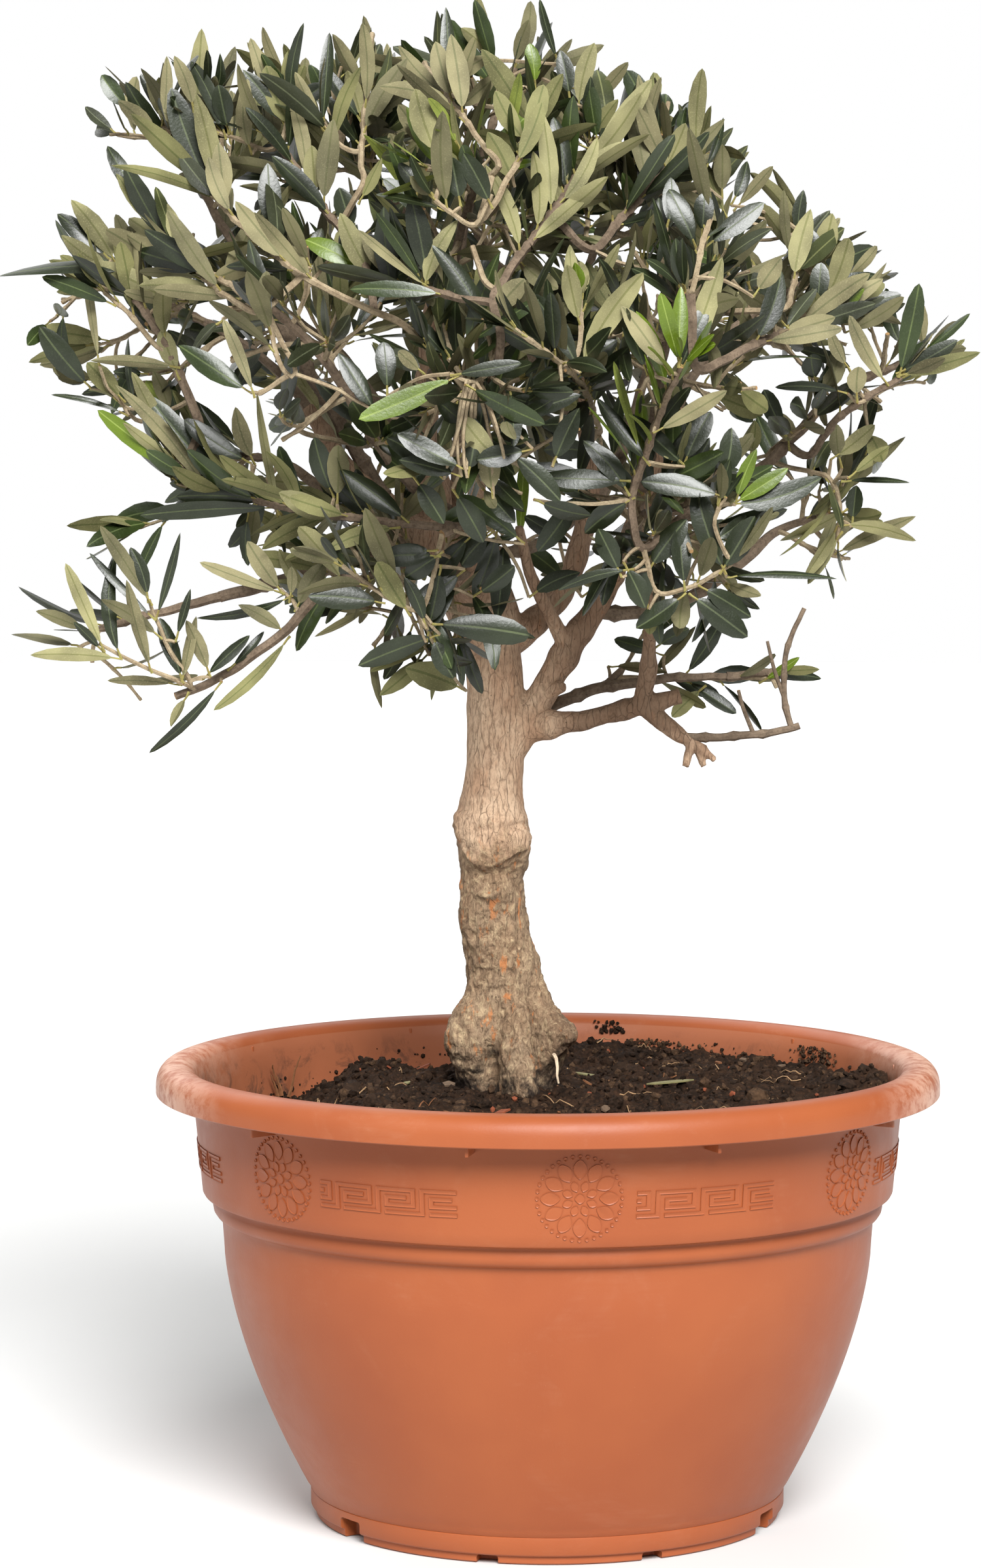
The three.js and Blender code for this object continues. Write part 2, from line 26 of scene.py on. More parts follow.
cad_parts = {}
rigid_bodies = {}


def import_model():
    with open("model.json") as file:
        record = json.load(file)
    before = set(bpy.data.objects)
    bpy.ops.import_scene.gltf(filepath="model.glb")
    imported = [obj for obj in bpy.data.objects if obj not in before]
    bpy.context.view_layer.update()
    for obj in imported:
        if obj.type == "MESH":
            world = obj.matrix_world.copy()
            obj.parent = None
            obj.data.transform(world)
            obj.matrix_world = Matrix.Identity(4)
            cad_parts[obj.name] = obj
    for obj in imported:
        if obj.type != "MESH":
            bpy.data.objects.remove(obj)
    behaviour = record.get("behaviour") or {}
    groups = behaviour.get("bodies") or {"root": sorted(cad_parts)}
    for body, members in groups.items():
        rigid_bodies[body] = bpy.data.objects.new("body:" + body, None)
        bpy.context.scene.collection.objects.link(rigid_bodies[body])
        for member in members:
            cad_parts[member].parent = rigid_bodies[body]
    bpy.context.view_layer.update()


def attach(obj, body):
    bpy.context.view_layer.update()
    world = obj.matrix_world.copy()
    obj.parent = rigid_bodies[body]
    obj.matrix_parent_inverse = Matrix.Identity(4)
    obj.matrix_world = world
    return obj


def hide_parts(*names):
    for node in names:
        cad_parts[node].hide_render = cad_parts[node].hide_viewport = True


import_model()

LOG = logging.getLogger("potted_olive")
MM = 0.001
UP = np.array((0.0, 0.0, 1.0))
GOLDEN_TURN = math.radians(137.5)
BODY = "root"
NOISE_SEED = 3

Colour = tuple[float, float, float]
Place = tuple[float, float, float]
Range = tuple[float, float]
Values = float | np.ndarray
Socket = bpy.types.NodeSocket
Feed = float | Colour | Socket


def srgb(*levels: int) -> Colour:
    """The linear colour that a shader takes for the red, green and blue levels of a display, 0 to 255."""
    shares = [level / 255 for level in levels]
    return tuple(s / 12.92 if s <= 0.04045 else ((s + 0.055) / 1.055) ** 2.4 for s in shares)


def mix(a: Values, b: Values, share: Values) -> Values:
    """The value that lies a share of the way from a to b."""
    return a + (b - a) * share


def smooth(value: Values, low: float, high: float) -> Values:
    """Rises smoothly from 0 at low to 1 at high."""
    share = np.clip((value - low) / (high - low), 0.0, 1.0)
    return share * share * (3.0 - 2.0 * share)


def bump(away: Values, spread: float) -> Values:
    """A bump of height 1 that falls away on both sides of 0."""
    return np.exp(-((away / spread) ** 2))


def unit(vector: np.ndarray) -> np.ndarray:
    """The vector at length 1, or each row of an array of vectors."""
    return vector / np.maximum(np.linalg.norm(vector, axis=-1, keepdims=True), 1e-9)


def turned(vector: np.ndarray, axis: np.ndarray, angle: float) -> np.ndarray:
    """A vector turned round a unit axis by an angle in radians."""
    c, s = math.cos(angle), math.sin(angle)
    return vector * c + np.cross(axis, vector) * s + axis * np.dot(axis, vector) * (1 - c)


def sideways(axis: np.ndarray, turn: float) -> np.ndarray:
    """A direction square to the axis, turned round it by an angle in radians."""
    return turned(unit(np.cross((1.0, 0.13, 0.07), axis)), axis, turn)


def angle_between(a: Values, b: Values) -> Values:
    """The smaller angle between two directions round an axis, all in degrees."""
    turn = np.abs(a - b) % 360.0
    return np.minimum(turn, 360.0 - turn)


class Slot(Enum):
    """The record's material slots."""

    POT = "terracotta_plastic"
    SOIL = "soil"
    TRUNK = "bark"
    BOUGH = "bough_bark"
    LEAF = "foliage"


@dataclass(frozen=True)
class PhotoView:
    """The camera as fitted to the photograph: where it stands, and what each pixel shows."""

    place: Place = (-29.2, -2293.6, 548.0)
    pitch: float = 85.67
    lens: float = 103.64
    sensor: float = 36.0
    width: int = 1500
    height: int = 2398

    @property
    def focal(self) -> float:
        """The focal length in pixels."""
        return self.lens / self.sensor * self.height

    @property
    def tilt(self) -> float:
        """How far the camera looks down, in radians."""
        return math.radians(90 - self.pitch)

    def ray(self, px: float, py: float) -> np.ndarray:
        """Works out a line of sight.

        Args:
            px: The pixel's place across the photograph.
            py: Its place down it.

        Returns:
            How the line of sight moves on for each millimetre along +Y.
        """
        right = (px - self.width / 2) / self.focal
        down = (py - self.height / 2) / self.focal
        ahead = math.cos(self.tilt) - down * math.sin(self.tilt)
        return np.array((right, ahead, -math.sin(self.tilt) - down * math.cos(self.tilt))) / ahead

    def at(self, px: float, py: float, y: float) -> np.ndarray:
        """The point that a pixel shows at the depth y."""
        return np.array(self.place) + self.ray(px, py) * (y - self.place[1])

    def pixels(self, points: np.ndarray) -> tuple[np.ndarray, np.ndarray]:
        """Works out which pixels show some points.

        Args:
            points: The points, one a row.

        Returns:
            The pixels' places across and down the photograph.
        """
        x, y, z = (points - np.array(self.place)).T
        ahead = y * math.cos(self.tilt) - z * math.sin(self.tilt)
        above = y * math.sin(self.tilt) + z * math.cos(self.tilt)
        return self.width / 2 + self.focal * x / ahead, self.height / 2 - self.focal * above / ahead


class Course:
    """A line through space that is read by the share of its length."""

    HEADING_STEP = 0.02

    def __init__(self, points: np.ndarray) -> None:
        """Keeps the points and the length up to each.

        Args:
            points: The line's points, one a row.
        """
        self.points = np.asarray(points, float)
        steps = np.linalg.norm(np.diff(self.points, axis=0), axis=1)
        self.lengths = np.concatenate(([0.0], np.cumsum(steps)))

    @classmethod
    def bowed(cls, start: np.ndarray, tip: np.ndarray, bow: np.ndarray, steps: int = 16) -> "Course":
        """A line from start to tip whose middle lies off the straight line.

        Args:
            start: Where it starts.
            tip: Where it ends.
            bow: How far its middle lies from the middle of the straight line.
            steps: Straight steps in it.

        Returns:
            The line.
        """
        middle = (start + tip) / 2 + 2 * bow
        return cls.through(start, middle, tip, steps)

    @classmethod
    def through(cls, start: np.ndarray, turn: np.ndarray, tip: np.ndarray, steps: int = 16) -> "Course":
        """A curve from start to tip that leaves towards the point turn.

        Args:
            start: Where it starts.
            turn: The point that pulls it.
            tip: Where it ends.
            steps: Straight steps in it.

        Returns:
            The curve.
        """
        t = np.linspace(0.0, 1.0, steps + 1)[:, None]
        return cls((1 - t) ** 2 * start + 2 * t * (1 - t) * turn + t**2 * tip)

    @property
    def length(self) -> float:
        """The whole length."""
        return float(self.lengths[-1])

    def at(self, share: float) -> np.ndarray:
        """The point at a share of the length."""
        along = share * self.length
        return np.array([np.interp(along, self.lengths, self.points[:, i]) for i in range(3)])

    def heading(self, share: float) -> np.ndarray:
        """The direction in which the line runs at a share of the length."""
        low, high = max(0.0, share - self.HEADING_STEP), min(1.0, share + self.HEADING_STEP)
        return unit(self.at(high) - self.at(low))

    def resampled(self, steps: int) -> "Course":
        """The same line in that many even steps."""
        return Course(np.array([self.at(i / steps) for i in range(steps + 1)]))


class NodeSheet:
    """A material's node tree, with short ways to add what the finishes here need."""

    def __init__(self, name: str, roughness: float, specular: float = 0.5) -> None:
        """Makes the material.

        Args:
            name: The material's name.
            roughness: The shader's roughness, unless a pattern is linked to it later.
            specular: The shader's specular level, which stays the same all over.
        """
        self.material = bpy.data.materials.new(name)
        self.material.use_nodes = True
        self.tree = self.material.node_tree
        self.shader = next(n for n in self.tree.nodes if n.type == "BSDF_PRINCIPLED")
        self.shader.inputs["Roughness"].default_value = roughness
        self.shader.inputs["Specular IOR Level"].default_value = specular
        self.place = self.tree.nodes.new("ShaderNodeTexCoord").outputs["Object"]

    def _new(self, kind: str, **inputs: Feed) -> bpy.types.Node:
        """Adds a node.

        Args:
            kind: Its type.
            inputs: What each input is set or linked to, by its name.

        Returns:
            The node.
        """
        node = self.tree.nodes.new(kind)
        for name, value in inputs.items():
            self._feed(node.inputs[name.replace("_", " ")], value)
        return node

    def _feed(self, socket: Socket, value: Feed) -> None:
        """Links or sets a socket.

        Args:
            socket: The socket.
            value: Another socket to link it to, or a plain value.
        """
        if isinstance(value, Socket):
            self.tree.links.new(value, socket)
        elif isinstance(value, tuple) and len(value) == 3 and socket.type == "RGBA":
            socket.default_value = (*value, 1.0)
        else:
            socket.default_value = value

    def stretched(self, scale: Place, source: Socket | None = None) -> Socket:
        """Scales coordinates.

        Args:
            scale: The scale along X, Y and Z.
            source: The coordinates, unless they are the object's own.

        Returns:
            The scaled coordinates.
        """
        node = self._new("ShaderNodeMapping", Vector=source or self.place)
        node.inputs["Scale"].default_value = scale
        return node.outputs["Vector"]

    def noise(self, size: float, detail: float = 4.0, rough: float = 0.55, at: Socket | None = None,
              warp: float = 0.0) -> Socket:
        """Adds a cloudy pattern.

        Args:
            size: How wide its lumps are, in millimetres.
            detail: How many finer layers it has.
            rough: How strong the finer layers are.
            at: The coordinates that it reads, unless they are the object's own.
            warp: How far it is pulled about.

        Returns:
            The pattern, from 0 to 1.
        """
        node = self._new("ShaderNodeTexNoise", Vector=at or self.place, Scale=1 / (size * MM), Detail=detail)
        node.inputs["Roughness"].default_value = rough
        node.inputs["Distortion"].default_value = warp
        return node.outputs["Fac"]

    def wide_noise(self, size: float) -> Socket:
        """A cloudy pattern with a value for each axis, whose lumps are about size millimetres wide."""
        return self._new("ShaderNodeTexNoise", Vector=self.place, Scale=1 / (size * MM)).outputs["Color"]

    def cells(self, size: float, feature: str = "F1", at: Socket | None = None) -> Socket:
        """Adds a cell pattern.

        Args:
            size: How wide its cells are, in millimetres.
            feature: What it measures: the distance to a cell's middle, or to its edge.
            at: The coordinates that it reads, unless they are the object's own.

        Returns:
            The distance, as a share of a cell's width.
        """
        node = self._new("ShaderNodeTexVoronoi", Vector=at or self.place, Scale=1 / (size * MM))
        node.feature = feature
        return node.outputs["Distance"]

    def ramp(self, source: Socket, low: float, high: float, start: float = 0.0, end: float = 1.0) -> Socket:
        """Maps a range of a pattern to another range, and holds it there outside.

        Args:
            source: The pattern.
            low: Its value that becomes start.
            high: Its value that becomes end.
            start: Where the new range starts.
            end: Where the new range ends.

        Returns:
            The mapped pattern.
        """
        node = self._new("ShaderNodeMapRange", Value=source)
        node.clamp = True
        for name, value in (("From Min", low), ("From Max", high), ("To Min", start), ("To Max", end)):
            node.inputs[name].default_value = value
        return node.outputs["Result"]

    def maths(self, kind: str, a: Feed, b: Feed) -> Socket:
        """Works something out from two values.

        Args:
            kind: What to work out.
            a: The first value.
            b: The second value.

        Returns:
            The result.
        """
        node = self.tree.nodes.new("ShaderNodeMath")
        node.operation = kind
        self._feed(node.inputs[0], a)
        self._feed(node.inputs[1], b)
        return node.outputs[0]

    def times(self, a: Feed, b: Feed) -> Socket:
        """The product of two values."""
        return self.maths("MULTIPLY", a, b)

    def blend(self, share: Feed, a: Feed, b: Feed, kind: str = "MIX") -> Socket:
        """Lays one colour over another.

        Args:
            share: How much of the second shows.
            a: The first colour.
            b: The colour laid over it.
            kind: How they are combined.

        Returns:
            The new colour.
        """
        node = self.tree.nodes.new("ShaderNodeMix")
        node.data_type = "RGBA"
        node.blend_type = kind
        self._feed(node.inputs["Factor"], share)
        self._feed(next(s for s in node.inputs if s.name == "A" and s.type == "RGBA"), a)
        self._feed(next(s for s in node.inputs if s.name == "B" and s.type == "RGBA"), b)
        return next(s for s in node.outputs if s.type == "RGBA")

    def along(self, axis: str) -> Socket:
        """The place along X, Y or Z, in metres."""
        return self._new("ShaderNodeSeparateXYZ", Vector=self.place).outputs[axis]

    def facing_down(self) -> Socket:
        """1 where the surface looks down, 0 where it stands upright or looks up."""
        normal = self.tree.nodes.new("ShaderNodeNewGeometry").outputs["Normal"]
        upright = self._new("ShaderNodeSeparateXYZ", Vector=normal).outputs["Z"]
        return self.ramp(upright, -0.35, 0.05, 1.0, 0.0)

    def relief(self, height: Socket, depth: float, under: Socket | None = None) -> Socket:
        """Fine relief from a pattern.

        Args:
            height: The pattern.
            depth: How deep its full range goes, in millimetres.
            under: Relief that lies under it.

        Returns:
            The normal that carries both.
        """
        node = self._new("ShaderNodeBump", Height=height, Distance=depth * MM, Strength=1.0)
        if under is not None:
            self._feed(node.inputs["Normal"], under)
        return node.outputs["Normal"]

    def dress(self, colour: Feed, roughness: Feed | None = None,
              normal: Socket | None = None) -> bpy.types.Material:
        """Gives the shader its patterns.

        Args:
            colour: The colour.
            roughness: The roughness, if it varies.
            normal: The relief, if there is any.

        Returns:
            The finished material.
        """
        self._feed(self.shader.inputs["Base Color"], colour)
        if roughness is not None:
            self._feed(self.shader.inputs["Roughness"], roughness)
        if normal is not None:
            self._feed(self.shader.inputs["Normal"], normal)
        return self.material


@dataclass(frozen=True)
class PlasticFinish:
    """Terracotta-coloured moulded plastic, satin, with dusty scuffs and fine scratches, and a painted
    reflection mixed with scuffs on the rim's left and right ends.
    """

    body: Colour = srgb(153, 82, 46)
    deep: Colour = srgb(145, 75, 42)
    bloom: Colour = srgb(172, 118, 91)
    # The pale scuff colour also paints the reflection on the rim's left and right ends.
    scuff_and_reflection: Colour = srgb(205, 166, 144)
    dirt: Colour = srgb(62, 46, 37)
    roughness: float = 0.44
    specular: float = 0.3
    # Whether the finish is for the inside: soil smears, and a painted lighter tone.
    soiled_and_painted_shading: bool = False
    rim: Range = (0.205, 0.228)
    rim_top: Range = (0.206, 0.214)
    rim_end: Range = (0.16, 0.19)
    inner_wall: Range = (0.208, 0.227)

    def build(self, name: str) -> bpy.types.Material:
        """Builds the material.

        Args:
            name: The material's name.

        Returns:
            The material; the inside finish gets soil smears and a painted lighter tone that stands in for
            light on the shaded inner wall.
        """
        sheet = NodeSheet(name, self.roughness, self.specular)
        height = sheet.along("Z")
        mottle = sheet.noise(80, detail=3)
        colour = sheet.blend(sheet.ramp(mottle, 0.35, 0.7), self.body, self.deep)
        cloud = sheet.noise(45, detail=8, rough=0.7, warp=0.6)
        streak = sheet.noise(16, detail=5, at=sheet.stretched((1, 1, 7)))
        worn = sheet.times(sheet.ramp(cloud, 0.54, 0.8), sheet.ramp(streak, 0.3, 0.7))
        rim_wear = sheet.ramp(height, *self.rim, 0.3, 0.6)
        colour = sheet.blend(sheet.times(worn, rim_wear), colour, self.bloom)
        # Scuffs and painted reflection: the rim's left and right ends are paled towards the scuff colour.
        # This is partly rubbing and partly a painted reflection of the bright surroundings at those grazing
        # edges.
        across = sheet.along("X")
        start, full = self.rim_end
        left = sheet.ramp(across, -full, -start, 1.0, 0.0)
        ends = sheet.maths("MAXIMUM", sheet.ramp(across, start, full), left)
        rubbed_and_reflecting = sheet.ramp(sheet.noise(9, detail=8, rough=0.75), 0.4, 0.56, 0.1, 0.8)
        scuffs_and_reflection = sheet.times(sheet.times(ends, sheet.ramp(height, *self.rim_top)), rubbed_and_reflecting)
        colour = sheet.blend(scuffs_and_reflection, colour, self.scuff_and_reflection)
        specks = sheet.ramp(sheet.cells(3.1), 0.05, 0.09, 0.35, 0.0)
        shown = sheet.times(specks, sheet.ramp(sheet.noise(24), 0.54, 0.66))
        colour = sheet.blend(shown, colour, self.bloom)
        rough = sheet.ramp(cloud, 0.3, 0.8, self.roughness - 0.06, self.roughness + 0.12)
        if self.soiled_and_painted_shading:
            # Painted light: the inside finish is lightened towards the bloom colour all over, standing in for
            # light on its shaded inner wall.
            colour = sheet.blend(0.3, colour, self.bloom)
            low = sheet.ramp(height, *self.inner_wall, 1.0, 0.0)
            patch = sheet.ramp(sheet.noise(22, detail=10, rough=0.74, warp=1.0), 0.52, 0.62, 0.0, 0.8)
            smear = sheet.times(patch, low)
            film = sheet.times(sheet.ramp(sheet.noise(60, detail=4), 0.4, 0.65, 0.0, 0.25), low)
            colour = sheet.blend(film, colour, self.dirt)
            colour = sheet.blend(smear, colour, self.dirt)
            rough = sheet.maths("ADD", rough, sheet.times(smear, 0.35))
        grain = sheet.relief(sheet.noise(1.1, detail=3), 0.05)
        dents = sheet.relief(sheet.noise(48, detail=2), 0.4, under=grain)
        return sheet.dress(colour, rough, dents)


@dataclass(frozen=True)
class SoilFinish:
    """Damp potting soil: near black, with browner crumbs and specks."""

    dark: Colour = srgb(34, 24, 17)
    brown: Colour = srgb(74, 52, 37)
    speck: Colour = srgb(132, 98, 70)
    lightness: float = 0.55

    def build(self, name: str) -> bpy.types.Material:
        """Builds the material.

        Args:
            name: The material's name.

        Returns:
            The material.
        """
        sheet = NodeSheet(name, 0.95, 0.12)
        lumps = sheet.noise(14, detail=8, rough=0.72)
        share = sheet.ramp(lumps, 0.42, 0.66, 0.0, self.lightness)
        colour = sheet.blend(share, self.dark, self.brown)
        crumbs = sheet.cells(2.4)
        colour = sheet.blend(sheet.ramp(crumbs, 0.1, 0.5, 0.5, 0.0), colour, self.brown)
        bits = sheet.ramp(sheet.cells(4.3), 0.09, 0.14, 0.8, 0.0)
        shown = sheet.times(bits, sheet.ramp(sheet.noise(9), 0.52, 0.6))
        colour = sheet.blend(shown, colour, self.speck)
        fine = sheet.relief(sheet.noise(2.2, detail=8, rough=0.75), 1.3)
        return sheet.dress(colour, None, sheet.relief(crumbs, 0.9, under=fine))


@dataclass(frozen=True)
class BarkFinish:
    """Olive bark: smooth and beige above, scaly and grey-brown with orange patches below."""

    pale: Colour = srgb(208, 179, 150)
    tan: Colour = srgb(186, 151, 122)
    grain: Colour = srgb(108, 82, 62)
    lichen: Colour = srgb(128, 105, 76)
    fleck: Colour = srgb(218, 192, 152)
    brown: Colour = srgb(78, 60, 44)
    orange: Colour = srgb(204, 128, 72)
    # Darker grey-brown of the boughs: partly their own bark, partly painted shade under the crown.
    limb: Colour = srgb(120, 95, 75)
    # Soil colour at the foot, also painted as shade on the faces that look down under the root lobes.
    soiled_and_painted_shading: Colour = srgb(44, 34, 27)
    smooth_above: float = 0.345
    soil_line: float = 0.218
    right_lobe: Range = (-0.004, 0.006)
    shaded_side: Range = (-0.003, 0.016)
    fork: Range = (0.385, 0.402)
    boughs: Range = (0.43, 0.47)

    def build(self, name: str) -> bpy.types.Material:
        """Builds the material.

        Args:
            name: The material's name.

        Returns:
            The material, which turns from scaly to smooth at a height.
        """
        sheet = NodeSheet(name, 0.86, 0.3)
        height = sheet.along("Z")
        ragged = sheet.ramp(sheet.noise(11, detail=4), 0.3, 0.7, -0.012, 0.012)
        edge = sheet.maths("ADD", height, ragged)
        scaly = sheet.ramp(edge, self.smooth_above - 0.01, self.smooth_above + 0.008, 1.0, 0.0)
        clouds = sheet.noise(15, detail=5, rough=0.6, at=sheet.stretched((1, 1, 0.6)))
        colour = sheet.blend(sheet.ramp(clouds, 0.36, 0.66), self.pale, self.tan)
        colour = sheet.blend(sheet.times(scaly, 0.62), colour, self.lichen)
        across = sheet.along("X")
        right = sheet.times(sheet.ramp(across, *self.right_lobe), sheet.ramp(edge, 0.27, 0.3, 0.6, 0.0))
        colour = sheet.blend(right, colour, self.grain)
        # Partly painted shade: on the shaded side near the fork and up the boughs, the bark turns to the
        # darker limb colour, which is also the boughs' own greyer bark.
        outer = sheet.times(sheet.ramp(across, *self.shaded_side), sheet.ramp(edge, *self.fork))
        upper = sheet.ramp(edge, *self.boughs, 0.0, 0.8)
        colour = sheet.blend(sheet.times(sheet.maths("MAXIMUM", outer, upper), 0.8), colour, self.limb)
        grains = sheet.noise(1.5, detail=6, rough=0.72, at=sheet.stretched((1.2, 1.2, 0.36)))
        colour = sheet.blend(sheet.ramp(grains, 0.37, 0.53, 0.6, 0.0), colour, self.grain)
        split = sheet.stretched((1, 1, 0.22), self._wandering(sheet))
        cracks = sheet.ramp(sheet.cells(3.8, "DISTANCE_TO_EDGE", at=split), 0.0, 0.05, 0.5, 0.0)
        shown = sheet.times(cracks, sheet.ramp(sheet.noise(9), 0.48, 0.62))
        colour = sheet.blend(shown, colour, self.brown)
        flakes = sheet.cells(2.3, at=sheet.stretched((1.2, 1.2, 0.6)))
        crust = sheet.noise(4.2, detail=8, rough=0.72, at=sheet.stretched((1.1, 1.1, 0.8)), warp=0.9)
        bright = sheet.times(sheet.ramp(crust, 0.5, 0.64, 0.0, 0.6), scaly)
        colour = sheet.blend(bright, colour, self.fleck)
        dark = sheet.times(sheet.ramp(crust, 0.34, 0.46, 0.7, 0.0), scaly)
        colour = sheet.blend(dark, colour, self.brown)
        streaks = sheet.noise(8, detail=6, rough=0.65, at=sheet.stretched((1.5, 1.5, 0.5)))
        rust = sheet.times(sheet.ramp(streaks, 0.59, 0.66), sheet.ramp(scaly, 0, 1, 0.12, 0.75))
        colour = sheet.blend(rust, colour, self.orange)
        pits = sheet.ramp(sheet.cells(3.1, at=sheet.stretched((1, 1, 0.75))), 0.08, 0.15, 0.85, 0.0)
        shown = sheet.times(pits, sheet.ramp(sheet.noise(7), 0.5, 0.6))
        colour = sheet.blend(shown, colour, self.brown)
        splashes = sheet.ramp(sheet.noise(7, detail=8, rough=0.72), 0.3, 0.7, -0.015, 0.015)
        foot = sheet.maths("ADD", height, splashes)
        colour = sheet.blend(sheet.ramp(foot, self.soil_line, 0.231, 0.95, 0.0), colour, self.soiled_and_painted_shading)
        # Painted shade: near the foot, faces that look down under the root lobes are darkened to the soil
        # colour.
        below = sheet.times(sheet.facing_down(), sheet.ramp(foot, 0.226, 0.244, 0.85, 0.0))
        colour = sheet.blend(below, colour, self.soiled_and_painted_shading)
        scales = sheet.times(sheet.maths("ADD", crust, sheet.times(flakes, 0.4)), scaly)
        low = sheet.relief(sheet.maths("SUBTRACT", scales, sheet.times(cracks, 0.3)), 2.2)
        return sheet.dress(colour, None, sheet.relief(grains, 0.6, under=low))

    @staticmethod
    def _wandering(sheet: NodeSheet) -> Socket:
        """Object coordinates that a noise shifts a little, so that long cracks wander."""
        return sheet.blend(0.003, sheet.place, sheet.wide_noise(8), "ADD")


@dataclass(frozen=True)
class WoodFinish:
    """Bark of boughs and twigs: a base colour, a second one in patches, and small ridges."""

    base: Colour
    patch: Colour
    grain: float = 1.6
    depth: float = 0.25

    def build(self, name: str) -> bpy.types.Material:
        """Builds the material.

        Args:
            name: The material's name.

        Returns:
            The material.
        """
        sheet = NodeSheet(name, 0.8, 0.3)
        clouds = sheet.noise(7, detail=6, rough=0.7)
        colour = sheet.blend(sheet.ramp(clouds, 0.38, 0.62), self.base, self.patch)
        ridges = sheet.noise(self.grain, detail=5, rough=0.65)
        shade = tuple(0.55 * c for c in self.patch)
        colour = sheet.blend(sheet.ramp(ridges, 0.36, 0.5, 0.6, 0.0), colour, shade)
        return sheet.dress(colour, None, sheet.relief(ridges, self.depth))


@dataclass(frozen=True)
class LeafFinish:
    """One tint of leaf: a glossy dark upper side, a matt pale underside, and a midrib on each."""

    name: str
    upper: Colour
    under: Colour
    rib: Colour
    under_rib: Colour
    gloss: float = 0.33

    def build(self) -> list[bpy.types.Material]:
        """Builds the four materials of a leaf.

        Returns:
            Those of the upper side, the underside, the upper midrib and the under midrib.
        """
        return [
            self._blade(f"leaf_{self.name}_upper", self.upper, self.gloss, 0.5),
            self._blade(f"leaf_{self.name}_under", self.under, 0.72, 0.3),
            self._blade(f"leaf_{self.name}_rib", self.rib, 0.5, 0.4),
            self._blade(f"leaf_{self.name}_under_rib", self.under_rib, 0.7, 0.3),
        ]

    @staticmethod
    def _blade(name: str, colour: Colour, roughness: float, specular: float) -> bpy.types.Material:
        """Builds one side's material: varied tones, speckled, on a leathery surface.

        Args:
            name: The material's name.
            colour: The colour that it varies.
            roughness: Its roughness.
            specular: Its specular level.

        Returns:
            The material.
        """
        sheet = NodeSheet(name, roughness, specular)
        tones = sheet.noise(26, detail=2)
        light = tuple(min(1.0, 1.35 * c + 0.004) for c in colour)
        dull = tuple(0.6 * c for c in colour)
        shown = sheet.blend(sheet.ramp(tones, 0.32, 0.68), dull, light)
        pale = tuple(min(1.0, 1.7 * c + 0.02) for c in colour)
        speckle = sheet.noise(0.7, detail=3)
        shown = sheet.blend(sheet.ramp(speckle, 0.54, 0.7, 0.0, 0.4), shown, pale)
        return sheet.dress(shown, None, sheet.relief(sheet.noise(1.4, detail=3), 0.1))


@dataclass(frozen=True)
class PlainFinish:
    """A plain surface with slight tones, such as a cut end, a bit in the soil or the floor."""

    colour: Colour
    roughness: float = 0.8
    size: float = 2.0
    spread: float = 0.2

    def build(self, name: str) -> bpy.types.Material:
        """Builds the material.

        Args:
            name: The material's name.

        Returns:
            The material.
        """
        sheet = NodeSheet(name, self.roughness, 0.3)
        light = tuple(min(1.0, (1 + self.spread) * c) for c in self.colour)
        dull = tuple((1 - self.spread) * c for c in self.colour)
        return sheet.dress(sheet.blend(sheet.ramp(sheet.noise(self.size), 0.35, 0.65), dull, light))


def ring_faces(rings: int, sides: int) -> list[tuple[int, ...]]:
    """Lists the faces of a closed tube.

    Args:
        rings: How many rings of points it has.
        sides: How many points there are in each.

    Returns:
        The faces of its skin, then its first end and its last.
    """
    faces = []
    for i in range(rings - 1):
        for k in range(sides):
            a, b = i * sides + k, i * sides + (k + 1) % sides
            faces.append((a, b, b + sides, a + sides))
    last = (rings - 1) * sides
    return faces + [tuple(reversed(range(sides))), tuple(range(last, last + sides))]


